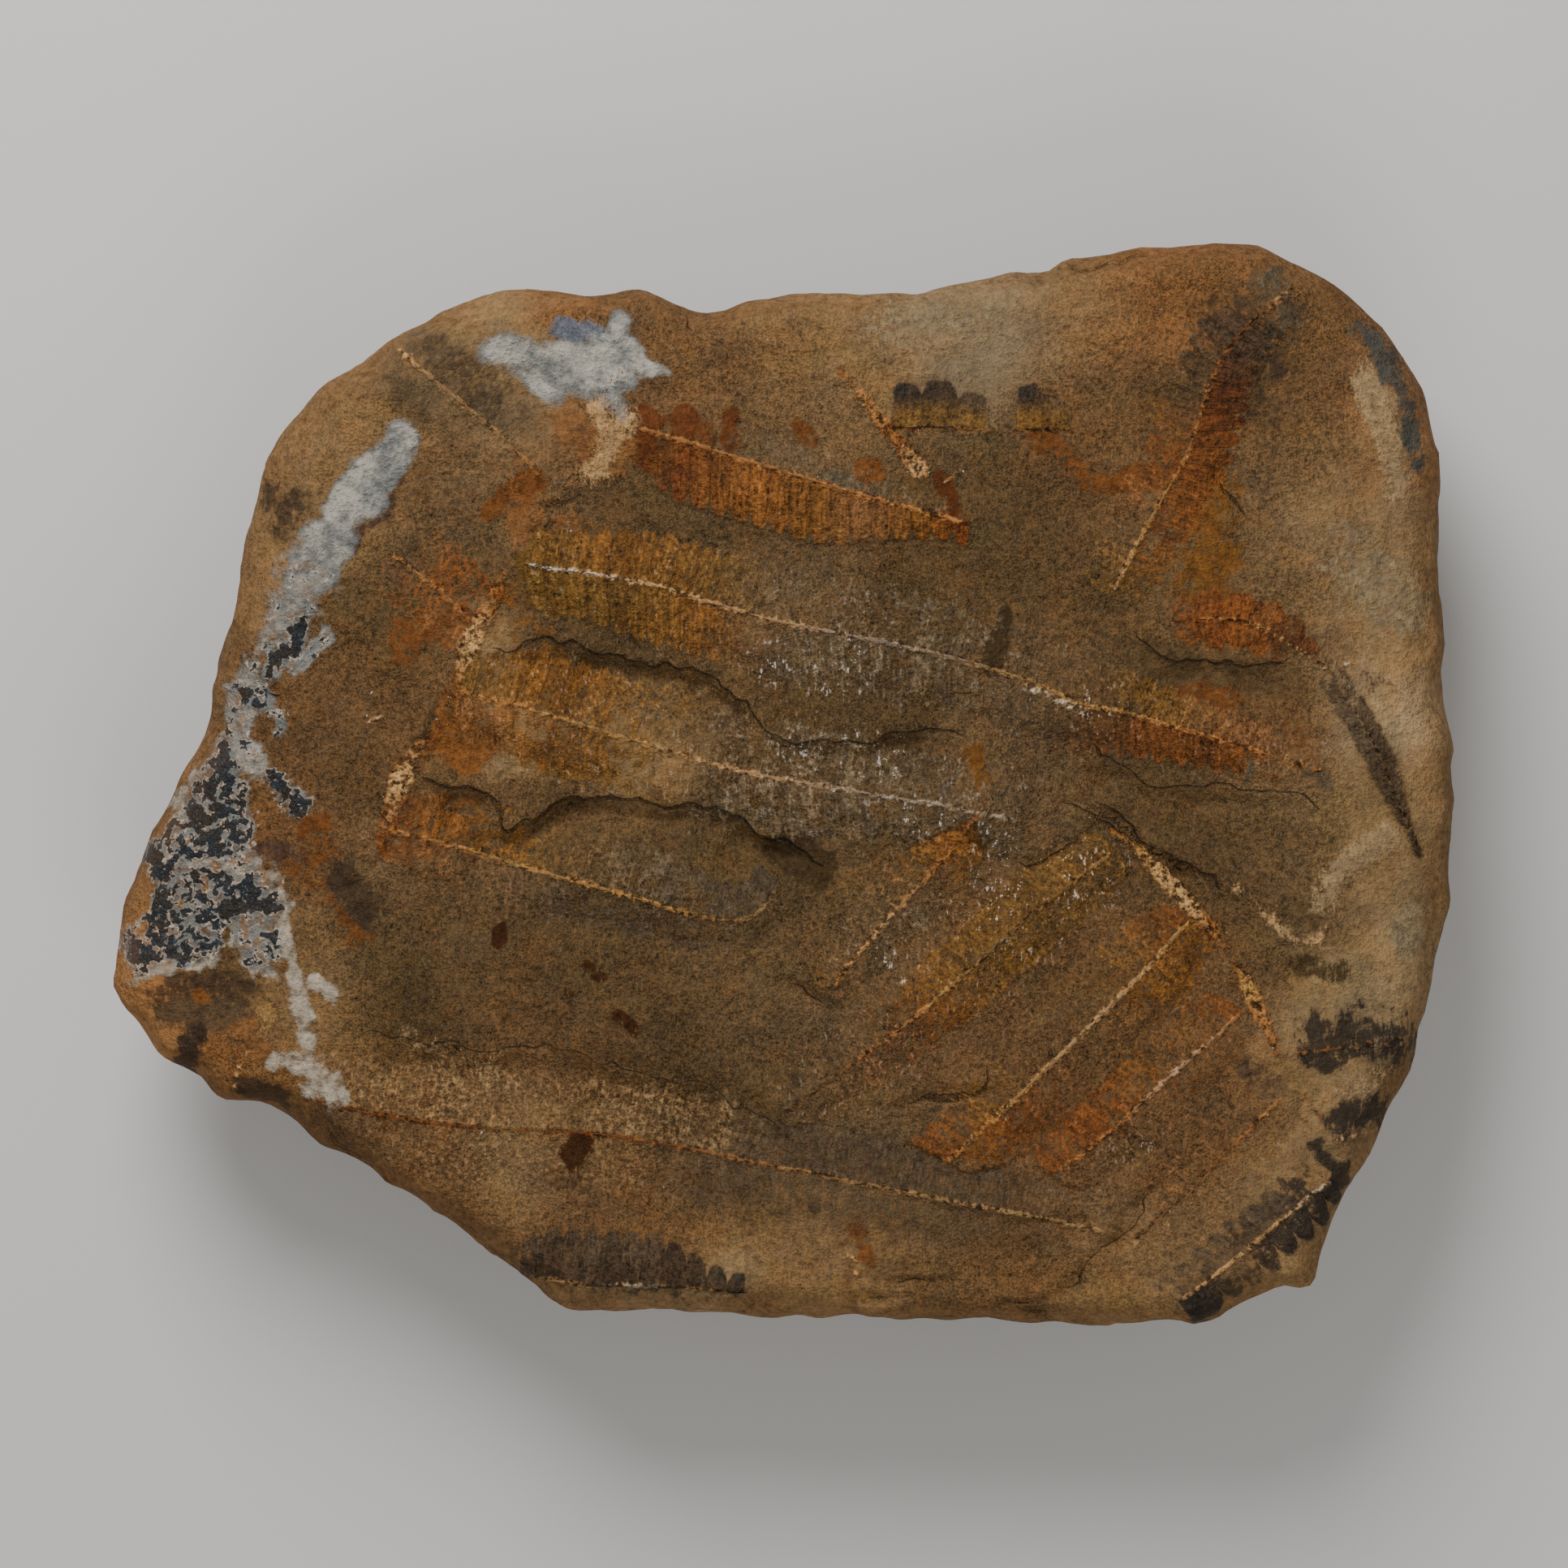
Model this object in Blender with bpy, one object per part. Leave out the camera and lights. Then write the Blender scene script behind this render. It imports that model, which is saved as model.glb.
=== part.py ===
"""Half of a split ironstone nodule with a Pecopteris fern fossil on its broken face.

The stone lies on its weathered back, face up. +X runs along its length, +Y towards the edge that is
the top of the fossil, and the origin is under its middle, on the surface it rests on.
Lengths in this file are millimetres until the last step, which scales them to metres.
"""
import math

import bmesh
import bpy
import numpy as np

MM = 0.001

LENGTH = 165.0
WIDTH = 133.2
FACE_HEIGHT = 31.0

# The weathered back: how far its dome would pass below the ground before the flat it rests on is cut,
# and how full and how steep the dome is. The outline's corners fade out down the back, over this angle,
# into its mean over a window of this many degrees to each side.
BACK_OVERSHOOT = 1.4
BACK_FULLNESS = 0.6
BACK_STEEPNESS = 0.92
CORNER_FADE = 0.9
CORNER_WINDOW = 36
CORNER_STEP = 4

# Uneven surfaces: height, wavelength and random seed. The back, the break of the face, coarse and fine,
# and the small chips along the outline.
BACK_LUMPS = (1.1, 30.0, 8)
UNDULATION = (0.35, 38.0, 4)
ROUGHNESS = (0.12, 11.0, 5)
CHIPS = (0.22, 9.0, 9)

# Share of the starting ball's surface that becomes the broken face, how finely the ball is divided, and
# the number of triangles that are left at the end.
FACE_SHARE = 0.72
BALL_CUTS = 89
TRIANGLES = 9600

STONE_COLOUR = (0.105, 0.062, 0.026, 1.0)
STONE_ROUGHNESS = 0.72

# The stone's outline from above, clockwise from its leftmost point.
OUTLINE = [
    (-82.5, -23.5), (-81.6, -15.5), (-79.1, -8.5), (-75.1, -1.0), (-72.0, 4.2), (-70.1, 10.5),
    (-69.1, 17.5), (-67.3, 24.5), (-66.1, 30.5), (-64.1, 37.5), (-61.4, 43.0), (-57.1, 48.5),
    (-51.6, 52.6), (-44.6, 56.8), (-36.6, 59.9), (-30.6, 60.1), (-24.6, 60.5), (-17.6, 59.9),
    (-13.1, 58.7), (-9.4, 57.7), (-4.6, 58.5), (1.4, 59.7), (9.4, 60.1), (15.9, 60.2),
    (19.4, 61.3), (26.4, 62.2), (32.9, 63.1), (34.6, 64.4), (43.4, 65.3), (50.4, 66.0),
    (57.7, 66.6), (62.4, 64.6), (68.4, 60.9), (73.4, 57.0), (76.9, 52.5), (79.4, 46.5),
    (80.9, 40.5), (81.2, 34.5), (80.7, 28.5), (81.0, 18.5), (81.7, 10.5), (82.5, 1.5),
    (82.2, -8.5), (81.2, -15.5), (79.2, -25.5), (78.2, -30.5), (75.9, -37.5), (72.4, -44.5),
    (68.9, -51.5), (65.9, -57.5), (64.4, -61.8), (60.4, -61.5), (56.4, -63.5), (51.4, -66.6),
    (47.4, -66.0), (36.4, -66.3), (23.4, -66.0), (13.4, -65.5), (-6.6, -65.0), (-22.6, -64.7),
    (-26.1, -64.6), (-30.6, -62.0), (-36.6, -57.0), (-40.6, -53.5), (-47.6, -49.5), (-50.6, -47.5),
    (-56.6, -45.3), (-58.1, -44.0), (-60.6, -41.5), (-64.6, -39.3), (-68.6, -38.7), (-72.6, -36.0),
    (-76.6, -33.5), (-80.6, -29.0), (-82.1, -26.0),
]

# Where the face rolls over into the back: compass angle in degrees, width of the roll, its depth.
RIM = [
    (-180, 8.0, 9.0), (-135, 5.0, 7.0), (-90, 4.5, 6.5), (-45, 4.0, 6.0), (0, 6.0, 8.0), (45, 7.0, 8.0),
    (90, 3.5, 5.5), (135, 7.5, 8.5), (180, 8.0, 9.0),
]
MEAN_ROLL = sum(depth for _, _, depth in RIM) / len(RIM)

# The pinnae: the line of the midrib, half width of the blade, how far the blade is arched, and the height
# of its pinnules, which is 0 where they have worn down to a stain.
PINNAE = {
    "first": ([(-16.6, 43.0), (-6.6, 40.0), (7.4, 35.8), (21.4, 32.0)], 7.0, 0.5, 0.5),
    "second": ([(-30.6, 26.5), (-16.6, 24.3), (-1.6, 20.0), (13.4, 17.0), (26.4, 13.7), (36.4, 9.7)],
               7.2, 0.9, 0.5),
    "second_tip": ([(36.4, 9.7), (42.4, 8.5), (53.4, 5.3), (65.4, 1.5)], 6.5, 1.0, 0.5),
    "third": ([(-39.1, 11.0), (-32.6, 9.5), (-20.6, 6.0), (-10.6, 3.0), (-1.6, 0.8), (9.4, -1.0),
               (22.4, -3.3)], 7.8, 1.1, 0.55),
    "fourth": ([(-48.6, -5.5), (-40.6, -7.5), (-27.6, -11.3), (-16.6, -14.3), (-8.6, -16.5),
                (-3.6, -16.3)], 6.5, 0.6, 0.4),
    "fifth": ([(-56.6, -38.7), (-36.6, -42.0), (-22.6, -42.8), (-10.6, -44.7), (3.4, -47.5),
               (17.4, -50.3), (39.9, -54.7)], 7.5, 0.6, 0.0),
    "left_upper": ([(-47.1, 53.0), (-40.6, 47.5), (-34.6, 42.5), (-29.6, 37.5)], 6.0, 0.4, 0.0),
    "right_first": ([(24.4, -3.0), (18.4, -10.5), (11.9, -17.5), (6.2, -24.5)], 4.2, 0.6, 0.0),
    "right_second": ([(39.9, -8.5), (30.4, -16.0), (22.4, -23.0), (13.4, -30.5), (4.4, -37.0),
                      (-0.6, -41.0)], 5.2, 0.7, 0.5),
    "right_third": ([(49.2, -17.0), (43.4, -23.5), (33.4, -33.5), (23.4, -43.0), (19.9, -46.0)],
                    6.3, 0.8, 0.5),
    "right_fourth": ([(55.4, -28.3), (47.4, -35.5), (40.4, -42.0), (33.9, -47.2)], 5.5, 0.5, 0.0),
    "upper_right": ([(40.2, 23.5), (44.4, 31.5), (49.4, 40.5), (52.4, 49.5), (56.4, 55.5)], 5.5, 0.4, 0.0),
}

# The pinnules: fused ribs on both sides of each midrib, leaning towards the pinna's tip.
PINNULE_PITCH = 2.6
PINNULE_LEAN = 0.32
MIDRIB_HALF_WIDTH = 0.9
MIDRIB_HEIGHT = 0.45
PINNA_END = 4.0

# The thick frond axes that carry the pinnae: line, half width, height.
AXES = {
    "left_axis": ([(-21.1, 46.5), (-23.1, 39.5), (-27.6, 35.5), (-32.6, 28.0), (-36.6, 20.5),
                   (-38.9, 15.0), (-40.4, 9.5), (-43.6, 5.5), (-46.6, 0.5), (-48.6, -5.0),
                   (-52.6, -11.0)], 1.7, 0.7),
    "right_axis": ([(37.9, -4.0), (43.4, -7.5), (46.4, -11.5), (49.9, -15.5), (53.4, -21.0),
                    (56.4, -26.0), (59.9, -32.5)], 1.6, 0.9),
    "stub_axis": ([(6.9, 50.3), (11.4, 45.0), (16.4, 39.0)], 1.5, 0.6),
}

# Broken steps between the layers. The low side is to the right of the line's direction:
# line, height of the step, width of the drop, distance over which the floor climbs back.
LEDGES = [
    ([(-45.1, 0.5), (-40.6, -0.2), (-36.6, -2.0), (-32.9, -5.3), (-29.8, -3.8), (-26.6, -2.5), (-19.6, -2.1),
      (-12.6, -2.7), (-5.6, -4.7), (0.4, -7.7), (4.9, -11.3)], 2.1, 0.7, 11.0),
    ([(-36.6, 17.0), (-26.6, 16.5), (-17.6, 15.0), (-9.6, 13.0), (-4.1, 9.0), (-0.6, 6.2), (6.4, 5.0),
      (13.4, 5.3), (22.4, 6.5)], 1.7, 1.1, 9.0),
    ([(36.9, 6.0), (40.4, 2.7), (43.4, 0.5), (49.4, -0.1), (58.4, -1.0), (67.4, -2.5)], 1.8, 1.0, 10.0),
    ([(-52.6, -31.0), (-40.6, -32.0), (-30.6, -32.5), (-20.6, -33.5), (-11.6, -36.0), (-4.6, -39.0),
      (0.9, -42.0)], 1.3, 3.0, 26.0),
    ([(43.0, 19.5), (46.4, 15.9), (53.4, 14.5), (63.4, 15.3)], 1.1, 1.0, 8.0),
    ([(37.9, -2.0), (43.4, -6.5), (48.4, -10.3), (54.9, -13.2)], 1.0, 0.8, 7.0),
    ([(27.4, -9.7), (33.4, -8.3), (37.9, -7.5)], 0.8, 0.7, 5.0),
    ([(16.4, -39.0), (22.9, -38.5), (25.9, -34.0)], 0.9, 0.9, 6.0),
]

# How far a ledge's edge is rounded back, and how long it takes to die out at its ends.
LEDGE_LIP = 0.2
LEDGE_END = 5.0

# Broad swells and hollows of the face: centre, radius, height.
SWELLS = [
    ((-12.0, -24.0), 30.0, 0.8), ((62.0, 35.0), 26.0, 0.7), ((-58.0, 5.0), 20.0, -0.8),
    ((50.0, -2.0), 16.0, -0.7), ((-62.0, -24.0), 18.0, 0.6), ((66.0, -18.0), 14.0, 0.9),
    ((10.0, 28.0), 14.0, -0.5), ((-5.0, 52.0), 22.0, 0.5),
]


def smooth_line(points, step=1.0, closed=False):
    """Points about a step apart along a Catmull-Rom curve through the given ones."""
    p = np.array(points, float)
    if closed:
        p = np.vstack([p[-1], p, p[0], p[1]])
    else:
        p = np.vstack([2 * p[0] - p[1], p, 2 * p[-1] - p[-2]])
    line = []
    for a, b, c, d in zip(p, p[1:], p[2:], p[3:]):
        count = max(2, math.ceil(np.linalg.norm(c - b) / step))
        t = np.arange(count)[:, None] / count
        bend = (2 * a - 5 * b + 4 * c - d) * t**2 + (3 * b - a - 3 * c + d) * t**3
        line.append(0.5 * (2 * b + (c - a) * t + bend))
    if not closed:
        line.append(p[-2][None, :])
    return np.vstack(line)


def along_and_across(xy, line):
    """For each point: the run along the line, the distance to its left (right is negative), the distance."""
    starts, runs = line[:-1], np.diff(line, axis=0)
    lengths = np.linalg.norm(runs, axis=1)
    before = np.concatenate([[0.0], np.cumsum(lengths)[:-1]])
    best = np.full(len(xy), np.inf)
    along, across = np.zeros(len(xy)), np.zeros(len(xy))
    for start, run, length, so_far in zip(starts, runs, lengths, before):
        offset = xy - start
        share = np.clip(offset @ run / length**2, 0, 1)
        distance = np.linalg.norm(offset - share[:, None] * run, axis=1)
        closer = distance < best
        side = run[0] * offset[:, 1] - run[1] * offset[:, 0]
        best = np.where(closer, distance, best)
        along = np.where(closer, so_far + share * length, along)
        across = np.where(closer, np.copysign(distance, side), across)
    return along, across, best


def smoothstep(low, high, value):
    t = np.clip((value - low) / (high - low), 0, 1)
    return t * t * (3 - 2 * t)


def end_fade(along, line, reach):
    """1 along the middle of a line, falling to 0 at its two ends."""
    total = np.linalg.norm(np.diff(line, axis=0), axis=1).sum()
    return smoothstep(0, reach, along) * smoothstep(0, reach, total - along)


def ledge_drop(xy, points, height, drop_width, floor_width):
    line = smooth_line(points)
    along, across, distance = along_and_across(xy, line)
    drop = height * smoothstep(-LEDGE_LIP, drop_width, -across)
    climb_back = 1 - smoothstep(drop_width, floor_width, distance)
    return -drop * climb_back * end_fade(along, line, LEDGE_END)


def ridge(distance, half_width, height):
    return height * np.sqrt(np.clip(1 - (distance / half_width) ** 2, 0, 1))


def pinna_relief(xy, points, half_width, arch, pinnule_height):
    """The arched blade of a pinna with its midrib and a rounded rib for each pinnule."""
    line = smooth_line(points)
    along, _, distance = along_and_across(xy, line)
    bow = np.clip(1 - (distance / half_width) ** 2, 0, 1)
    place = (along - distance * PINNULE_LEAN) / PINNULE_PITCH
    rib = 1 - (2 * (place - np.floor(place)) - 1) ** 2
    relief = arch * bow + pinnule_height * rib * np.sqrt(bow)
    relief += ridge(distance, MIDRIB_HALF_WIDTH, MIDRIB_HEIGHT)
    return relief * end_fade(along, line, PINNA_END)


def axis_ridge(xy, points, half_width, height):
    return ridge(along_and_across(xy, smooth_line(points))[2], half_width, height)


def lumps(points, height, wavelength, seed):
    """A smooth random field between about plus and minus the height, made of crossing waves."""
    chance = np.random.default_rng(seed)
    field = np.zeros(len(points))
    waves = 9
    for _ in range(waves):
        direction = chance.normal(size=points.shape[1])
        direction /= np.linalg.norm(direction)
        turn = 2 * math.pi / (wavelength * chance.uniform(0.7, 1.5))
        field += np.cos(points @ direction * turn + chance.uniform(0, 2 * math.pi))
    return height * field / math.sqrt(waves)


def face_relief(xy):
    """Height of the broken face above or below FACE_HEIGHT."""
    relief = lumps(xy, *UNDULATION) + lumps(xy, *ROUGHNESS)
    for centre, radius, height in SWELLS:
        distance = np.linalg.norm(xy - np.array(centre), axis=1)
        relief += height * smoothstep(0, 1, 1 - distance / radius)
    for ledge in LEDGES:
        relief += ledge_drop(xy, *ledge)
    for pinna in PINNAE.values():
        relief += pinna_relief(xy, *pinna)
    for axis in AXES.values():
        relief += axis_ridge(xy, *axis)
    return relief


def outline_radius(angle):
    """Distance from the middle to the stone's edge at a compass angle in radians."""
    line = smooth_line(OUTLINE, closed=True)
    angles = np.arctan2(line[:, 1], line[:, 0])
    order = np.argsort(angles)
    radius = np.interp(angle, angles[order], np.linalg.norm(line, axis=1)[order], period=2 * math.pi)
    edge = np.column_stack([np.cos(angle), np.sin(angle)]) * radius[:, None]
    return radius + lumps(edge, *CHIPS)


def dome_radius(angle):
    """The outline without its corners: its mean over a wide window of angles."""
    offsets = np.arange(CORNER_STEP - CORNER_WINDOW, CORNER_WINDOW, CORNER_STEP)
    weights = np.cos(offsets / CORNER_WINDOW * math.pi / 2) ** 2
    radii = np.array([outline_radius(angle + turn) for turn in np.radians(offsets)])
    return weights @ radii / weights.sum()


def rim_roll(angle):
    """Width and depth of the rolled-over edge at a compass angle in radians."""
    table = np.array(RIM, float)
    turn = np.degrees(angle)
    return np.interp(turn, table[:, 0], table[:, 1]), np.interp(turn, table[:, 0], table[:, 2])


def ball(cuts):
    """A unit ball with evenly sized square cells: a divided cube pushed out to the sphere."""
    cage = bmesh.new()
    bmesh.ops.create_cube(cage, size=2.0)
    bmesh.ops.subdivide_edges(cage, edges=cage.edges, cuts=cuts, use_grid_fill=True)
    mesh = bpy.data.meshes.new("fossil_nodule")
    cage.to_mesh(mesh)
    cage.free()
    corners = np.empty(len(mesh.vertices) * 3, np.float32)
    mesh.vertices.foreach_get("co", corners)
    directions = np.tan(corners.reshape(-1, 3).astype(float) * math.pi / 4)
    return mesh, directions / np.linalg.norm(directions, axis=1)[:, None]


def stone_points(directions):
    """Carries the ball's directions to the stone's surface: upper part to the face, the rest to the back."""
    angle = np.arctan2(directions[:, 1], directions[:, 0])
    share = (1 - directions[:, 2]) / 2
    radius = outline_radius(angle)
    heading = np.column_stack([np.cos(angle), np.sin(angle)])
    roll_width, roll_depth = rim_roll(angle)

    out = np.sqrt(np.clip(share / FACE_SHARE, 0, 1))
    face_xy = heading * (out * radius)[:, None]
    into_roll = np.clip(1 - (1 - out) * radius / roll_width, 0, 1)
    face_z = FACE_HEIGHT + face_relief(face_xy) - roll_depth * (1 - np.sqrt(1 - into_roll**2))

    edge_z = FACE_HEIGHT + face_relief(heading * radius[:, None]) - roll_depth
    down = np.clip((share - FACE_SHARE) / (1 - FACE_SHARE), 0, 1) * math.pi / 2
    corners_left = 1 - smoothstep(0, CORNER_FADE, down)
    smoothed = dome_radius(angle) + (radius - dome_radius(angle)) * corners_left
    swelling = lumps(directions * LENGTH / 4, *BACK_LUMPS) * np.sin(2 * down)
    back_xy = heading * (smoothed * np.cos(down) ** BACK_FULLNESS + swelling)[:, None]
    dome_top = edge_z * corners_left + (FACE_HEIGHT - MEAN_ROLL) * (1 - corners_left)
    back_z = dome_top - (dome_top + BACK_OVERSHOOT) * np.sin(down) ** BACK_STEEPNESS + swelling / 2

    on_face = share <= FACE_SHARE
    xy = np.where(on_face[:, None], face_xy, back_xy)
    z = np.where(on_face, face_z, np.maximum(back_z, 0.0))
    return np.column_stack([xy, z])


def centred(points):
    """Moves the stone so that the origin is under the middle of its box, at its stated length and width."""
    low, high = points.min(axis=0), points.max(axis=0)
    points = points - [(low[0] + high[0]) / 2, (low[1] + high[1]) / 2, low[2]]
    return points * [LENGTH / (high[0] - low[0]), WIDTH / (high[1] - low[1]), 1.0]


def stone_material():
    material = bpy.data.materials.new("ironstone")
    material.use_nodes = True
    shader = material.node_tree.nodes["Principled BSDF"]
    shader.inputs["Base Color"].default_value = STONE_COLOUR
    shader.inputs["Roughness"].default_value = STONE_ROUGHNESS
    shader.inputs["Metallic"].default_value = 0.0
    return material


def build_nodule():
    mesh, directions = ball(BALL_CUTS)
    points = centred(stone_points(directions)) * MM
    mesh.vertices.foreach_set("co", points.astype(np.float32).ravel())
    mesh.shade_smooth()
    mesh.materials.append(stone_material())
    mesh.update()
    stone = bpy.data.objects.new("fossil_nodule", mesh)
    collection = bpy.data.collections.new("pecopteris_fossil_nodule")
    bpy.context.scene.collection.children.link(collection)
    collection.objects.link(stone)
    thin = stone.modifiers.new("fewer faces", "DECIMATE")
    thin.ratio = TRIANGLES / (2 * len(mesh.polygons))
    return stone


def main():
    for old in list(bpy.data.objects):
        bpy.data.objects.remove(old)
    build_nodule()


main()
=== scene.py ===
"""The looks of a split ironstone nodule with a Pecopteris fern fossil on its broken face.

Places on the stone are millimetres seen from above, +X along its length and +Y towards the top edge of
the fossil. A piece is shaped in those millimetres and carried into the frame's metres at the end.
"""
import functools
import math

import bmesh
import bpy
import numpy as np
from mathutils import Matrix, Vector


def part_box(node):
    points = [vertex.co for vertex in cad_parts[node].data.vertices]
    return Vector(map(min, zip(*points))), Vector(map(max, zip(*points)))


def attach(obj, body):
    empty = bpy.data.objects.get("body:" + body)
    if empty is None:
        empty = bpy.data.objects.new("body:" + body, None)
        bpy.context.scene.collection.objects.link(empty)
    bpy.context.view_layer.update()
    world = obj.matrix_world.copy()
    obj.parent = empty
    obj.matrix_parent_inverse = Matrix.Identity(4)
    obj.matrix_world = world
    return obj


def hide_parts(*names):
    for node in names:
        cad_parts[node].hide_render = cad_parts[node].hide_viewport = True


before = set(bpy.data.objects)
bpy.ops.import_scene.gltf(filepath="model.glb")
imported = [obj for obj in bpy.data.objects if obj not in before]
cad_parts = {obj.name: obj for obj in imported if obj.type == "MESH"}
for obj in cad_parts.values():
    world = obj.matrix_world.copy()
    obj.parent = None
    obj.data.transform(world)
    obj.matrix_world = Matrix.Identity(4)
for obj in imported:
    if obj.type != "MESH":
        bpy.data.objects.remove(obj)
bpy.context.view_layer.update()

bl_info = {
    "name": "Fern Fossil Nodule",
    "version": (1, 0, 0),
    "blender": (4, 5, 0),
    "location": "View3D > Sidebar > Fossil",
    "description": "Builds a split ironstone nodule with a fossil fern on its broken face",
    "category": "Add Mesh",
}

MM = 0.001
NODE = "fossil_nodule"
BODY = "root"
STONE_LOW, STONE_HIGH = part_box(NODE)

# The stage: how wide a view the camera has at the height of the face, its lens and sensor in millimetres,
# the floor's side in metres, each light's place and diameter, the fill's share of the key's power, and the
# colour of the even light.
FRAME_WIDTH = 191.2 * MM
LENS = 150.0
SENSOR = 36.0
FLOOR_SIZE = 6.0
KEY_LIGHT = ((-0.16, 0.44, 0.44), 0.36)
FILL_LIGHT = ((0.12, -0.5, 0.5), 0.5)
FILL_SHARE = 0.36
SKY_COLOUR = (1.0, 0.985, 0.96, 1.0)

# The stone, as its solid is built.
FACE_HEIGHT = 31.0
BACK_OVERSHOOT = 1.4
BACK_FULLNESS = 0.6
BACK_STEEPNESS = 0.92
CORNER_FADE = 0.9
CORNER_WINDOW = 36
CORNER_STEP = 4
BACK_LUMPS = (1.1, 30.0, 8)
CRUST_HEIGHT = 0.1
UNDULATION = (0.35, 38.0, 4)
ROUGHNESS = (0.12, 11.0, 5)
CHIPS = (0.22, 9.0, 9)
LEDGE_LIP = 0.2
LEDGE_END = 7.0
LEDGE_WANDER = 1.15

# The markings. The crust fades below the rim by this power. A ledge's painted shadow line has this half
# width for each unit of its steepness. A crack's painted shade darkens rock up to this far away and fades
# over the same length at its ends. Rock with no crack near counts as this many half widths away, and rock
# in no blade as this many millimetres inside one. A glittering blade keeps this share of its flakes and
# painted glints outside the clusters.
CRUST_FADE = 6
LEDGE_SHADE = 0.22
CRACK_REACH = 2.5
FAR_AWAY = 30.0
WELL_OUTSIDE = -4.0
GLITTER_FLOOR = 0.15

# A midrib: length of its pieces, corners around it, height for its width, size of its grit, how deep it is
# sunk.
RIB_STEP = 0.3
RIB_CORNERS = 9
RIB_FLATNESS = 0.7
RIB_GRIT = 0.45
RIB_SINK = 0.08

# The finer mesh of the finished stone: cuts along a cube's edge, and the share that is the broken face.
STONE_CUTS = 127
FACE_SHARE = 0.82

# Layers of noise: height, cell size and seed, in millimetres. The break's own grain, the pits of the
# weathered skin, the grit along the axes, and how far drawn edges wander.
BREAK_GRAIN = [(0.30, 5.0, 21), (0.20, 2.2, 22), (0.10, 1.1, 23)]
SKIN_GRAIN = [(0.55, 7.0, 31), (0.28, 3.2, 32), (0.12, 1.6, 33)]
AXIS_GRAIN = [(0.35, 1.1, 34), (0.25, 2.3, 35)]
EDGE_WANDER = [(0.9, 4.0, 51), (0.5, 1.6, 52)]

# Where flat noise is cut through the lattice of random values, and a shift that keeps places above zero.
FLAT_SLICE = 0.37
LATTICE_SHIFT = 1000.5

# Slow changes over the surface: cell size and seed of each channel.
CLOUDS = {
    "clouds": [(5.0, 81), (2.6, 84), (3.6, 87)],
    "patches": [(5.5, 91), (2.2, 94), (1.6, 97)],
    "skin": [(9.0, 101), (4.0, 104), (2.8, 107)],
}

# How far pinnules lean towards the tip on the left and right of a midrib, as a slope.
LEAN = {"left": 0.06, "right": 0.27}

# A pinnule's lowest point, and how deep it is sunk where the blade is lost. The shares of a pinna's length
# at which it has reached its full width and at which it begins to narrow again, and how far its line is
# carried on at both ends to measure from. The rest holds for a pinna that doesn't say otherwise: see PINNAE.
PINNULE_FOOT = -0.5
PINNULE_SINK = 0.5
PINNA_START = 0.16
PINNA_TIP = 0.55
PINNA_RUNOUT = 8.0
DEFAULT_PITCH = 2.55
DEFAULT_START = 0.25
DEFAULT_CUT = 0.7
DEFAULT_FEATHER = 0.8

# How near the rim's edge a piece of the plant may come, as a share of the way from the middle.
RIM_LIMIT = 0.975
RIM_SINK = 1.5

OUTLINE = [
    (-82.5, -23.5), (-81.6, -15.5), (-79.1, -8.5), (-75.1, -1.0), (-72.0, 4.2), (-70.1, 10.5),
    (-69.1, 17.5), (-67.3, 24.5), (-66.1, 30.5), (-64.1, 37.5), (-61.4, 43.0), (-57.1, 48.5),
    (-51.6, 52.6), (-44.6, 56.8), (-36.6, 59.9), (-30.6, 60.1), (-24.6, 60.5), (-17.6, 59.9),
    (-13.1, 58.7), (-9.4, 57.7), (-4.6, 58.5), (1.4, 59.7), (9.4, 60.1), (15.9, 60.2),
    (19.4, 61.3), (26.4, 62.2), (32.9, 63.1), (34.6, 64.4), (43.4, 65.3), (50.4, 66.0),
    (57.7, 66.6), (62.4, 64.6), (68.4, 60.9), (73.4, 57.0), (76.9, 52.5), (79.4, 46.5),
    (80.9, 40.5), (81.2, 34.5), (80.7, 28.5), (81.0, 18.5), (81.7, 10.5), (82.5, 1.5),
    (82.2, -8.5), (81.2, -15.5), (79.2, -25.5), (78.2, -30.5), (75.9, -37.5), (72.4, -44.5),
    (68.9, -51.5), (65.9, -57.5), (64.4, -61.8), (60.4, -61.5), (56.4, -63.5), (51.4, -66.6),
    (47.4, -66.0), (36.4, -66.3), (23.4, -66.0), (13.4, -65.5), (-6.6, -65.0), (-22.6, -64.7),
    (-26.1, -64.6), (-30.6, -62.0), (-36.6, -57.0), (-40.6, -53.5), (-47.6, -49.5), (-50.6, -47.5),
    (-56.6, -45.3), (-58.1, -44.0), (-60.6, -41.5), (-64.6, -39.3), (-68.6, -38.7), (-72.6, -36.0),
    (-76.6, -33.5), (-80.6, -29.0), (-82.1, -26.0),
]

# Where the face rolls over into the back: compass angle in degrees, width of the roll, its depth.
RIM = [
    (-180, 8.0, 9.0), (-135, 5.0, 7.0), (-90, 4.5, 6.5), (-45, 4.0, 6.0), (0, 6.0, 8.0), (45, 7.0, 8.0),
    (90, 3.5, 5.5), (135, 7.5, 8.5), (180, 8.0, 9.0),
]
MEAN_ROLL = sum(depth for _, _, depth in RIM) / len(RIM)

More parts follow.
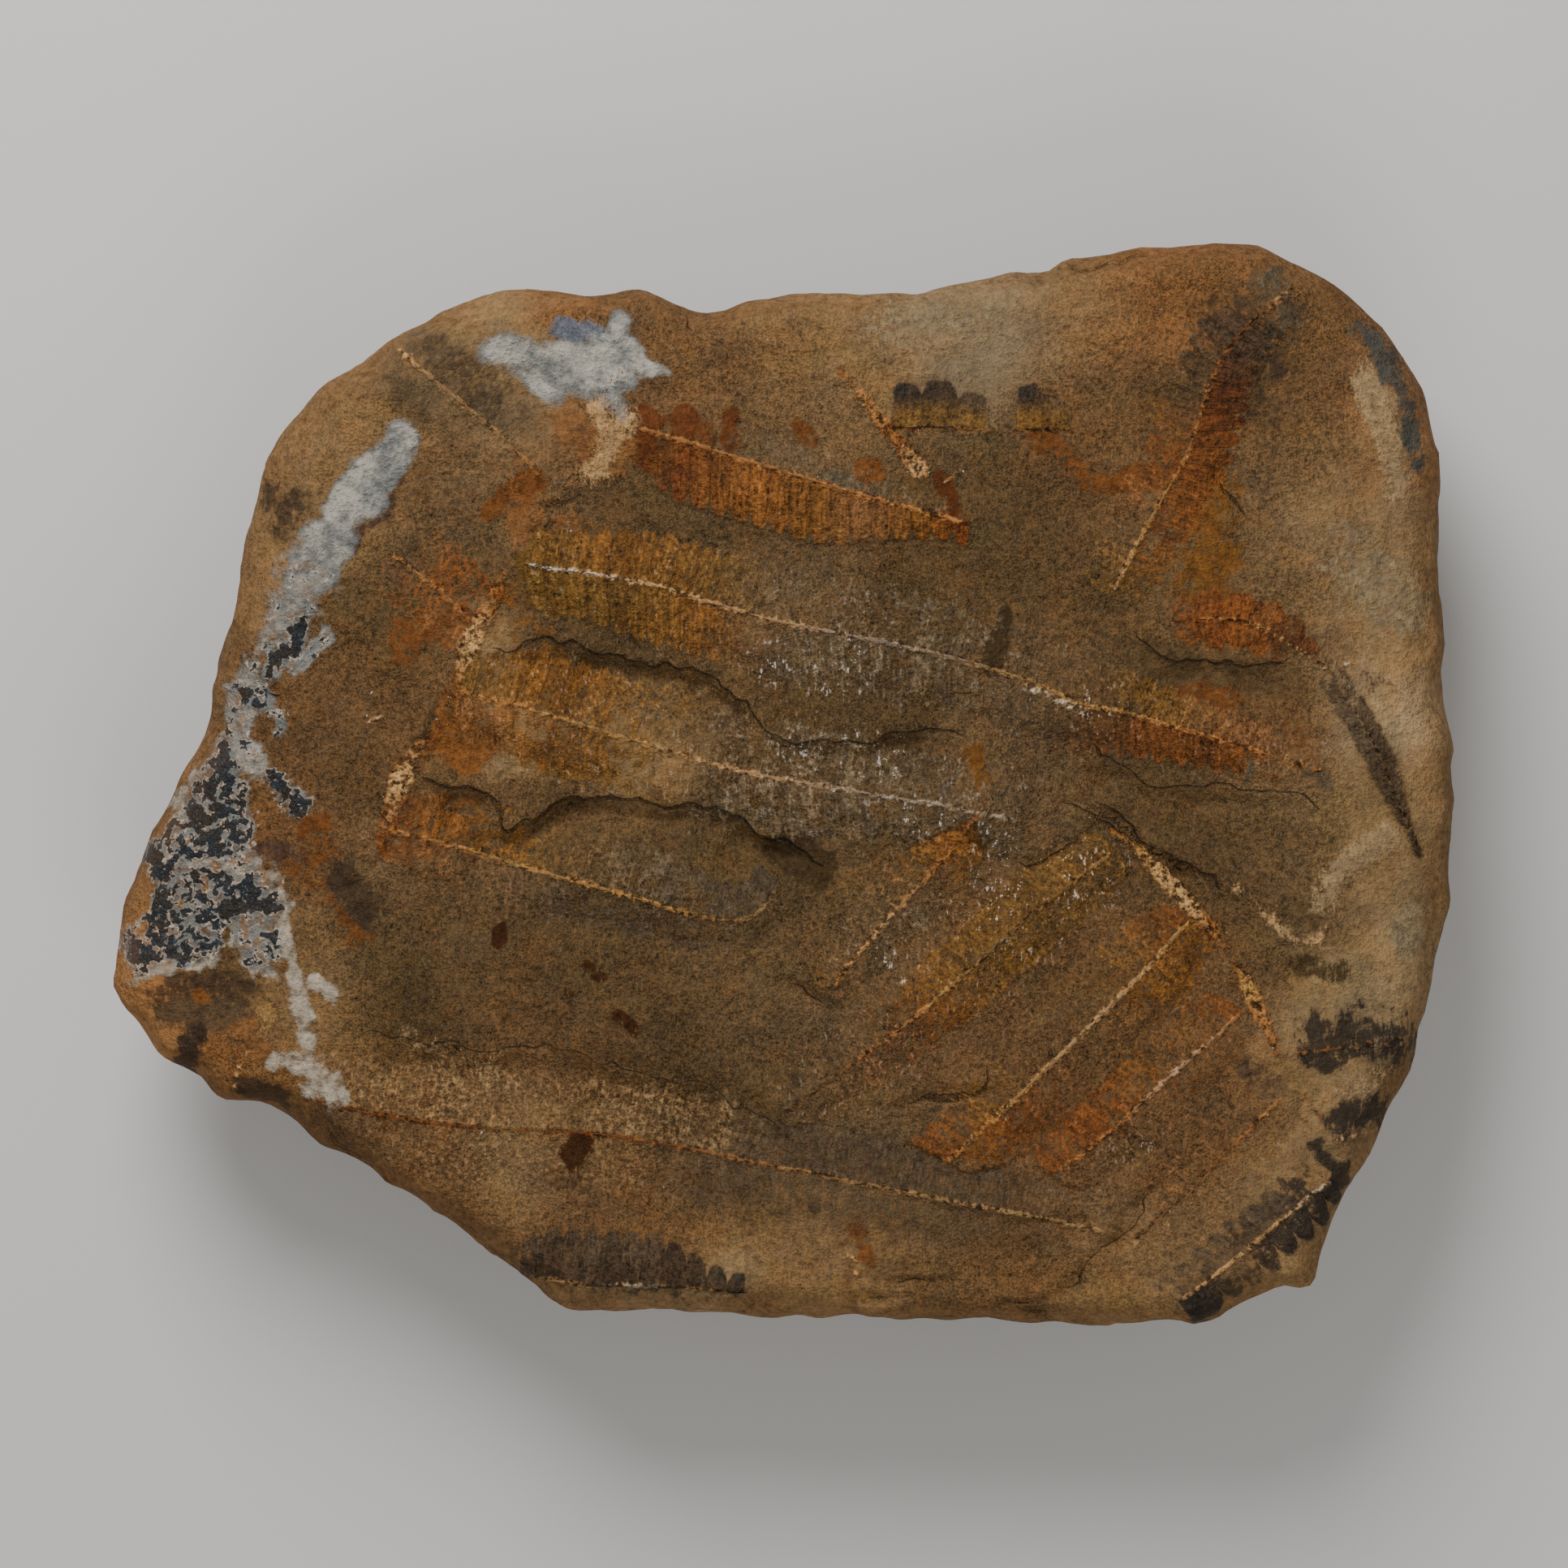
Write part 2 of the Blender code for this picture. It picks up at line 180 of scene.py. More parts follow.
# Broken steps between the layers. The low side is to the right of the line's direction:
# line, height of the step, width of the drop, distance over which the floor climbs back.
LEDGES = [
    ([(-45.1, 0.5), (-40.6, -0.2), (-36.6, -2.0), (-32.9, -5.3), (-29.8, -3.8), (-26.6, -2.5), (-19.6, -2.1),
      (-12.6, -2.7), (-5.6, -4.7), (0.4, -7.7), (4.9, -11.3)], 2.0, 1.3, 11.0),
    ([(-36.6, 17.0), (-26.6, 16.5), (-17.6, 15.0), (-9.6, 13.0), (-4.1, 9.0), (-0.6, 6.2), (6.4, 5.0),
      (13.4, 5.3), (22.4, 6.5)], 1.6, 1.5, 9.0),
    ([(36.9, 6.0), (40.4, 2.7), (43.4, 0.5), (49.4, -0.1), (58.4, -1.0), (67.4, -2.5)], 1.4, 2.0, 10.0),
    ([(-52.6, -31.0), (-40.6, -32.0), (-30.6, -32.5), (-20.6, -33.5), (-11.6, -36.0), (-4.6, -39.0),
      (0.9, -42.0)], 1.3, 3.0, 26.0),
    ([(43.0, 19.5), (46.4, 15.9), (53.4, 14.5), (63.4, 15.3)], 1.1, 1.0, 8.0),
    ([(37.9, -2.0), (43.4, -6.5), (48.4, -10.3), (54.9, -13.2)], 1.0, 0.8, 7.0),
    ([(27.4, -9.7), (33.4, -8.3), (37.9, -7.5)], 0.8, 0.7, 5.0),
    ([(16.4, -39.0), (22.9, -38.5), (25.9, -34.0)], 0.9, 0.9, 6.0),
]

# Broad swells and hollows of the face: centre, radius, height.
SWELLS = [
    ((-12.0, -24.0), 30.0, 0.8), ((62.0, 35.0), 26.0, 0.7), ((-58.0, 5.0), 20.0, -0.8),
    ((50.0, -2.0), 16.0, -0.7), ((-62.0, -24.0), 18.0, 0.6), ((66.0, -18.0), 14.0, 0.9),
    ((10.0, 28.0), 14.0, -0.5), ((-5.0, 52.0), 22.0, 0.5),
]

# Finishes by name, red, green and blue from 0 to 255 as the eye sees them.
PALETTE = {
    "tan": (132, 105, 70), "pale": (143, 119, 84), "warm_tan": (138, 98, 62), "sand": (122, 94, 60),
    "grey_brown": (92, 71, 46), "brown": (98, 71, 43), "umber": (80, 61, 37), "shade": (58, 44, 24),
    "ochre": (120, 80, 44), "green_tan": (126, 108, 80), "glint": (226, 220, 208), "orange": (118, 72, 30),
    "deep_orange": (112, 60, 20), "rust_orange": (104, 60, 24), "rust": (78, 38, 12),
    "olive": (102, 72, 30), "olive_orange": (110, 70, 26), "ash": (94, 78, 56), "grey": (74, 60, 43),
    "soot": (34, 31, 28), "soot_brown": (60, 46, 32), "purple_brown": (66, 48, 38), "blot": (56, 27, 4),
    "russet": (92, 48, 20), "slate": (92, 99, 106), "light_tan": (158, 132, 96), "blue_grey": (78, 74, 58),
    "steel": (60, 66, 62), "cream": (170, 134, 90), "cream_orange": (148, 100, 54),
    "white": (170, 166, 154), "yellow_cream": (158, 120, 66), "silver": (190, 182, 166),
    "pink_white": (176, 142, 112), "clay": (134, 124, 108), "blue_clay": (112, 116, 114),
    "pink_clay": (140, 112, 88), "warm_white": (168, 152, 130), "ink": (22, 31, 38),
    "peach": (164, 114, 66), "skin": (108, 74, 42), "skin_dark": (80, 56, 33), "skin_pale": (122, 92, 60),
}

# Bare rock: centre of a zone, its radius and its finish. The peach zone at (-78, -27) and the sand zones at
# (5, -59) and (3, -63.5) are lighter as painted light, where the rim rolls away from the light into shade.
ZONES = [
    (70, 28, 14, "tan"), (58, 33, 9, "grey_brown"), (60, 26, 7, "umber"), (73, 9, 7, "light_tan"),
    (57, 8, 8, "brown"), (62, 6, 5, "brown"), (63, 12, 5, "umber"), (2, 43, 7, "grey_brown"),
    (-38, 17, 5, "tan"), (-17, 5, 6, "tan"), (-47, -7, 4, "tan"), (-51, -1, 5, "umber"),
    (-55, 5, 6, "umber"), (-45, -24, 10, "umber"), (-46, -26, 5, "shade"), (-30, -45, 6, "tan"),
    (-35, 7, 5, "tan"), (60, 0, 5, "tan"), (45, 48, 5, "umber"), (71, 11, 4, "tan"), (-36, 48, 8, "tan"),
    (-59, -27, 7, "sand"), (-11, -39, 10, "umber"), (-11, -38, 7, "shade"), (-20, 14, 5, "shade"),
    (34, -27, 6, "umber"), (3, -63.5, 5, "sand"), (72, -12, 12, "tan"), (74, -24, 9, "pale"),
    (68, -38, 9, "tan"), (24, 58, 11, "green_tan"), (35, 57, 8, "sand"), (48, 61, 11, "ochre"),
    (62, 50, 10, "brown"), (6, 52, 12, "sand"), (-9, 53, 9, "brown"), (25, 34, 12, "umber"),
    (-12, 30, 9, "umber"), (2, 22, 8, "grey_brown"), (38, 44, 9, "brown"), (-54, 45, 10, "sand"),
    (-62, 30, 9, "sand"), (-40, 40, 10, "grey_brown"), (-45, 22, 9, "umber"), (-53, 8, 12, "brown"),
    (-42, -12, 10, "grey_brown"), (-25, -20, 17, "umber"), (0, -26, 14, "grey_brown"), (-5, -9, 9, "umber"),
    (10, 8, 12, "umber"), (-20, 14, 8, "umber"), (30, 0, 10, "grey_brown"), (50, -5, 14, "umber"),
    (60, -10, 10, "umber"), (73, -33, 4, "shade"), (42, -24, 12, "brown"), (28, -30, 12, "brown"),
    (50, -42, 11, "brown"), (52, -56, 6, "sand"), (14, -42, 10, "grey_brown"), (-30, -37, 12, "brown"),
    (-46, -37, 9, "brown"), (-20, -52, 13, "brown"), (5, -59, 14, "sand"), (-27, 59, 4, "ochre"),
    (26, -61, 11, "brown"), (42, -61, 8, "sand"), (-18, -65, 5, "pale"), (-48, -45, 8, "brown"),
    (-70, -23, 6, "shade"), (-26, -60, 4, "tan"), (-10, -62, 5, "pale"), (-78, -27, 9, "peach"),
    (-66, -34, 8, "skin"), (-74, -8, 8, "skin"), (75, 45, 9, "warm_tan"), (56, 62, 7, "brown"),
    (64, -52, 9, "tan"),
]

# Stains without a leaf's shape, and a few marks of painted shade: line, half width, finish, strength,
# softness of the edge.
STAINS = [
    ([(65.0, -30.9), (70.0, -30.2), (75.2, -30.6)], 3.2, "soot", 0.94, 1.0),
    ([(64, -33.6), (75, -33.2)], 1.4, "soot", 0.75, 1.0),
    ([(67.6, -41.0), (72.4, -40.2)], 2.2, "soot", 0.8, 1.0),
    ([(65.2, -43.8), (67.4, -46.0), (68.6, -49.0)], 1.0, "soot", 1.1, 0.6),
    ([(62.0, -48.6), (56.6, -53.0)], 1.8, "soot_brown", 0.6, 1.0),
    ([(55.2, -34.4), (58.4, -36.6)], 2.4, "purple_brown", 0.45, 1.0),
    ([(54, -40), (57.6, -42)], 2.4, "purple_brown", 0.35, 1.0),
    ([(-34.0, -57.6), (-30.0, -58.0)], 1.8, "grey", 0.5, 1.0),
    ([(49.2, -63.4), (52.0, -64.6)], 2.0, "soot", 0.6, 1.0),
    ([(-22.0, 47.0), (-20.8, 42.0), (-22.8, 38.6)], 2.9, "cream", 0.8, 1.0),
    ([(-17.6, 41.0), (-19.4, 40.6)], 1.2, "ochre", 0.9, 0.6),
    ([(-27.0, 55.8), (-22.0, 54.8)], 1.4, "slate", 0.9, 0.9),
    ([(69.0, 28.0), (74.0, 22.0)], 5.2, "green_tan", 0.7, 1.0),
    ([(12.0, 56.0), (22.0, 55.4)], 4.0, "green_tan", 0.6, 1.0),
    ([(75.8, -17.4), (76.4, -19.8)], 2.1, "green_tan", 1.2, 0.4),
    # Painted shade in the hollow at the end of a ledge.
    ([(0.6, -7.6), (3.4, -10.4)], 2.6, "shade", 1.1, 0.7),
    ([(44.0, 14.6), (52.0, 13.6), (60.0, 12.4)], 3.0, "umber", 0.6, 1.0),
    ([(56.7, 2.0), (57.0, 0.8)], 0.9, "ash", 1.4, 0.4),
    ([(70.5, 12.6), (75.6, 10.8)], 1.3, "soot_brown", 0.5, 1.0),
    ([(64.2, 1.2), (66.6, 0.0)], 1.1, "ash", 0.8, 0.8),
    ([(-38.8, 14.6), (-41.8, 8.0), (-46.0, 1.5)], 1.7, "rust_orange", 0.7, 1.0),
    # Painted shade in crevices beside the left axis.
    ([(-42.8, 9.4), (-45.6, 4.4)], 0.8, "shade", 0.8, 0.8),
    ([(-57.8, -5.6), (-55.4, -5.0)], 1.3, "rust_orange", 1.0, 0.6),
    ([(-63.0, -8.0), (-59.4, -10.0)], 2.2, "purple_brown", 0.6, 1.0),
    ([(-71.6, -30.4), (-73.4, -35.2)], 1.5, "soot", 1.0, 0.6),
    ([(-75.0, -28.4), (-66.4, -28.6)], 2.0, "grey", 0.9, 0.8),
    ([(-75.0, -24.6), (-66.8, -26.0)], 2.6, "soot_brown", 0.8, 1.0),
    ([(-71.4, -26.8), (-70.8, -27.4)], 1.1, "orange", 1.0, 0.6),
    ([(-66.0, -29.6), (-63.6, -32.0)], 1.8, "ochre", 0.9, 0.8),
    ([(-65.8, -36.8), (-61.8, -38.6)], 1.4, "soot_brown", 0.9, 0.8),
    ([(-63.4, -27.6), (-62.6, -28.4)], 1.0, "yellow_cream", 0.7, 0.8),
    ([(48.5, 42), (51.5, 34), (52.5, 24)], 4.8, "olive_orange", 0.6, 1.0),
    ([(31.4, 42), (36.4, 37.5), (43.4, 36.5), (49.4, 38.5)], 2.2, "rust_orange", 0.8, 0.8),
    ([(-16.6, 44.9), (-15.8, 43.8)], 1.4, "russet", 1.0, 0.5),
    ([(-12.9, 45.6), (-12.2, 43.4)], 1.8, "russet", 1.0, 0.4),
    ([(-9.9, 43.6), (-9.4, 42.2)], 1.1, "rust_orange", 0.9, 0.5),
    ([(-6.4, 45.2), (-5.6, 41.4)], 1.4, "russet", 0.9, 0.5),
    ([(-16.8, 41.8), (-15.2, 39.6)], 1.9, "russet", 1.0, 0.5),
    ([(-13.0, 40.8), (-12.4, 38.6)], 1.3, "olive", 0.9, 0.4),
    ([(-25.2, -44.6), (-25.0, -45.6)], 1.6, "blot", 1.6, 0.15),
    ([(-34.1, -17.5), (-34.1, -19)], 1.2, "blot", 1.2, 0.3),
    ([(-24.8, -21.5), (-22.8, -23.6)], 0.8, "blot", 0.7, 0.4),
    ([(-34.6, -28), (-33.6, -29)], 0.9, "blot", 0.6, 0.4),
    ([(-20.6, -28.4), (-18.6, -29.6)], 1.0, "blot", 0.8, 0.4),
    ([(-22.2, -43), (-22.2, -43.4)], 1.1, "blot", 0.6, 0.4),
    ([(-29.4, -46), (-24, -49.5)], 1.8, "blot", 0.35, 0.8),
    ([(-26.0, -25.0), (-25.4, -25.4)], 0.7, "blot", 0.6, 0.4),
    ([(-54, -12), (-51, -15.5)], 2.6, "soot_brown", 0.8, 1.0),
    ([(-57, -12.5), (-52, -17)], 2.6, "rust_orange", 0.5, 1.0),
    ([(-62.4, 35.4), (-60.4, 32.6)], 2.8, "soot_brown", 0.7, 0.9),
    ([(-47.2, 37), (-49.6, 32.0), (-52.6, 28.5)], 0.8, "purple_brown", 0.9, 0.8),
    ([(60.2, 61), (61.5, 56)], 2.4, "blue_grey", 0.6, 1.0),
    ([(71.2, 55.0), (75.4, 48.5), (77.8, 40.0)], 2.1, "steel", 0.8, 0.9),
    ([(71.4, 49.0), (73.4, 43), (74.6, 37)], 2.2, "pale", 0.9, 0.8),
    # Painted shade in a hollow.
    ([(26.9, 19.6), (26.0, 16.6), (25.0, 14.6)], 1.2, "shade", 1.3, 0.5),
    ([(54, 56), (58, 49)], 5.6, "soot_brown", 0.45, 1.0), ([(-27, 44), (-21, 40)], 3.8, "ochre", 0.7, 1.0),
    ([(-30.6, 37.0), (-33.4, 35.2), (-35.8, 33.0)], 1.5, "rust_orange", 0.95, 0.5),
    ([(-46, -8.0), (-38, -5.6)], 2.4, "rust_orange", 0.6, 1.0),
    ([(5.4, 37.6), (7.6, 36.2)], 1.5, "blue_grey", 0.6, 0.8),
    ([(63.4, -21.6), (68.4, -22.6)], 1.7, "shade", 0.6, 1.0),
    ([(61.5, -14.8), (64.2, -16.6)], 1.7, "umber", 0.7, 1.0),
    ([(-34, 22), (-30, 16), (-31, 10)], 4.0, "olive_orange", 0.55, 1.0),
    ([(-46, 17.6), (-38, 20.0)], 3.0, "rust_orange", 0.6, 1.0),
    ([(2.4, 42.4), (3.0, 41.8)], 1.5, "rust_orange", 0.9, 0.4),
    ([(10.2, 38.4), (10.8, 37.2)], 1.5, "rust_orange", 0.8, 0.5),
    ([(19.6, 36.4), (20.8, 33.4)], 1.1, "rust", 0.8, 0.5),
    ([(23.6, 3.5), (24.4, 0.2)], 1.8, "olive_orange", 0.9, 0.6),
    ([(48, 13), (58, 7), (64, 3)], 3.4, "rust_orange", 0.5, 1.0),
    ([(8.9, -54.0), (10.4, -57.6)], 1.3, "rust_orange", 0.7, 0.8),
    ([(19.4, -46), (30.4, -42), (40.4, -41)], 3.4, "rust_orange", 0.45, 1.0),
    ([(-41, 8.0), (-38, 4.6)], 3.2, "orange", 0.8, 0.6),
    ([(-44.4, -32), (-36, -34)], 2.2, "pale", 0.3, 1.0),
    ([(4.0, -55), (12.0, -57)], 5.0, "brown", 0.4, 1.0),
    ([(-30, 26.6), (-27.6, 22.0)], 2.6, "olive", 0.9, 0.5),
    ([(-59.4, -10.5), (-55.0, -8.0)], 1.8, "rust_orange", 0.6, 0.8),
    ([(-45.4, 37.0), (-41.4, 33.0)], 4.4, "brown", 0.5, 1.0),
    ([(-32.0, 34.0), (-30.0, 28.5), (-26.0, 31.5)], 2.4, "ochre", 0.7, 1.0),
    ([(69, -40), (72, -36)], 3.4, "pale", 0.5, 1.0),
]

# Thin mineral lines on the rock: line, half width, finish, strength.
THREADS = [
    ([(24.9, 41.0), (21.4, 38.0), (19.4, 36.5)], 0.1, "pale", 0.6),
    ([(12.9, 43.0), (38.4, 42.6)], 0.15, "ochre", 0.5),
    ([(66.4, 15.5), (69.5, 12.0), (73, 6.0)], 0.2, "ash", 0.6),
    ([(68.5, 14.6), (76, 12.2)], 0.15, "silver", 0.6),
    ([(-6.4, 35.5), (3.0, 33.2), (6.5, 33.5)], 0.12, "cream_orange", 0.5),
    ([(-67.2, -37.4), (-66.4, -34.6), (-65.2, -32.4)], 0.4, "cream", 0.8),
    ([(62.8, -37.0), (64.2, -39.0), (66.2, -41.8)], 0.2, "cream_orange", 0.7),
    ([(-54.4, -45.6), (-50.8, -48.2)], 0.25, "cream", 0.8),
    ([(8.0, -57.4), (9.2, -58.4), (8.8, -59.8)], 0.25, "cream", 0.9),
    ([(29.4, 11.7), (36.4, 8.8)], 0.25, "silver", 0.8),
    ([(-50.6, 7.5), (-49.0, 8.2)], 0.4, "pink_white", 0.9),
    ([(-60.5, 21.0), (-56.0, 18.6)], 0.3, "white", 0.8),
]

# Low folds of the break: line, half width, height, finish, strength. Each is raised in the face with its
# finish painted along it: the pale ones are painted highlight where the fold catches the light, the dark ones
# painted shade, most of them along the low side of a ledge.
FOLDS = [
    (
        [(55.3, -12.9), (59.4, -16.2), (61.8, -18.7), (64.4, -19.4), (65.7, -17.8), (65.4, -14.8)], 0.75,
        0.35, "cream", 0.55,
    ),
    ([(65.4, -14.8), (67.4, -11.4), (71.6, -8.0), (74.0, -6.4)], 1.7, 0.5, "pale", 0.8),
    ([(-52.0, 15.6), (-40.0, 12.0)], 1.6, 0.3, "brown", 0.2),
    ([(40.0, -2.0), (52.0, -4.4), (66.0, -6.0)], 2.0, 0.4, "umber", 0.2),
    ([(43.0, -5.0), (50.0, -9.6), (60.0, -15.0)], 1.2, 0.5, "grey_brown", 0.3),
    ([(-24.0, -31.0), (-8.0, -34.5), (-2.0, -38.0)], 2.2, 0.4, "grey_brown", 0.3),
    ([(15.0, -49.0), (30.0, -52.0), (40.0, -50.0), (45.0, -46.0)], 1.6, 0.35, "umber", 0.2),
    ([(-68.0, 20.0), (-60.0, 10.0), (-57.0, 2.0)], 1.6, 0.3, "brown", 0.2),
]

# Open cracks and flake edges: line, half width. Each is cut in as a groove and darkened with painted shade.
CRACKS = [
    ([(27.4, -9.7), (33.4, -8.3), (37.9, -7.5)], 0.22),
    ([(33.6, -3.2), (38.2, -4.6), (43.4, -8.0), (49.6, -12.4)], 0.18),
    ([(33.0, -62.3), (39.5, -56.6), (46.1, -49.3)], 0.12), ([(8.5, -62.5), (14.2, -62.9)], 0.3),
    ([(13.0, -61.5), (16.3, -60.1), (19.5, -60.3)], 0.2), ([(26.9, -62.3), (31.4, -63.1)], 0.3),
    ([(28.5, -64.3), (35.4, -64.7)], 0.32), ([(-12.2, 58.3), (-11.0, 55.5), (-9.1, 54.6)], 0.3),
    ([(32.8, 63.2), (39.8, 63.6), (46.7, 64.8)], 0.24), ([(76.9, -12.0), (79.4, -11.5)], 0.25),
    ([(76.9, -15.3), (79.9, -15.2)], 0.22), ([(52.4, 37.5), (57.9, 32.0)], 0.22),
    ([(-65.6, 11.4), (-60.2, 10.6)], 0.16), ([(-0.6, -23.6), (6.4, -27.4)], 0.18),
    ([(14.4, -38.7), (22.9, -38.3)], 0.25), ([(-57.5, -41.8), (-51.5, -47.0)], 0.28),
]

# White clay crust: line, half width at each end, softness of its edge, and the share of black film on it.
# A share below zero clears the film that came before.
CRUSTS = [
    ([(-35.4, 52.5), (-31.0, 51.6), (-26.4, 50.0)], 1.6, 3.8, 1.5, 0.0),
    ([(-26.6, 50.6), (-20.2, 51.6)], 2.8, 3.8, 1.2, 0.0),
    ([(-19.4, 56.8), (-18.6, 51.6), (-13.6, 49.4)], 1.8, 0.5, 0.7, 0.0),
    ([(-20.2, 51.0), (-20.4, 46.0)], 2.4, 1.2, 1.8, 0.0),
    ([(-47.4, 41.4), (-49.4, 38.6), (-53.0, 34.4)], 2.4, 2.9, 0.9, 0.0),
    ([(-51.8, 35.2), (-55.0, 30.0), (-58.2, 25.2)], 2.4, 3.4, 1.8, 0.0),
    ([(-58.4, 24.8), (-62.6, 17.0)], 3.4, 1.8, 3.0, 0.25),
    ([(-65.0, 14.4), (-66.2, 9.5)], 1.3, 1.8, 2.2, 0.3),
    ([(-56.0, 18.4), (-59.4, 14.2)], 0.9, 1.0, 0.4, 0.55),
    ([(-59.6, 19.2), (-62.0, 13.6)], 1.7, 1.4, 0.4, 1.1),
    ([(-67.4, 11.0), (-64.0, 10.2)], 1.3, 1.5, 0.4, 0.85),
    ([(-67.0, 9.2), (-65.4, 4.4), (-63.6, 1.6)], 1.8, 1.2, 0.6, 0.35),
    ([(-62.6, 1.2), (-60.8, -0.9), (-59.2, -2.2)], 1.2, 1.8, 0.3, 1.3),
    ([(-61.9, 8.2), (-61.5, 6.4)], 0.8, 0.8, 0.6, 0.95),
    ([(-68.4, 4.8), (-68.2, -1.4)], 1.5, 2.6, 0.5, 0.9),
    ([(-70.8, 0.8), (-73.8, -3.0)], 1.4, 1.6, 0.9, 0.15),
    ([(-69.0, -2.4), (-69.6, -10.6)], 4.2, 5.2, 0.6, 0.78),
    ([(-74.0, -5.6), (-76.2, -9.4)], 2.2, 2.2, 0.8, 0.8),
    ([(-74.0, -13.4), (-70.0, -14.4)], 2.4, 2.2, 0.6, 1.05),
    ([(-70.8, -11.8), (-73.5, -17.0)], 6.2, 5.4, 0.9, 0.94),
    ([(-70.6, -19.6), (-75.6, -19.4), (-80.0, -20.4)], 1.8, 2.4, 0.5, 0.95),
    ([(-65.4, -12.8), (-64.2, -20.4)], 3.6, 2.8, 1.8, 0.5),
    ([(-75.0, -9.0), (-70.6, -9.6), (-66.6, -10.8)], 0.6, 0.9, 0.5, -1),
    ([(-70.0, -22.2), (-75.6, -22.4), (-80.4, -24.2)], 0.6, 0.6, 0.5, -1),
    ([(-64.8, -14.2), (-62.8, -15.8)], 1.3, 1.2, 0.5, 1.2),
    (
        [(-63.7, -11.7), (-61.4, -14.5), (-61.4, -17.0), (-60.2, -20.6), (-58.8, -25.5), (-57.9, -29.5)],
        0.7, 1.3, 0.5, 0.0,
    ),
    ([(-57.9, -29.5), (-58.2, -34.0), (-58.6, -37.4)], 1.1, 0.9, 0.7, 0.0),
    ([(-61.4, -34.0), (-59.4, -34.2)], 1.1, 1.1, 0.7, 0.0),
    ([(-56.4, -24.4), (-55.0, -25.6)], 1.3, 1.4, 0.6, 0.0),
    ([(-57.0, -36.6), (-55.4, -38.6)], 1.2, 1.4, 0.9, 0.05),
]

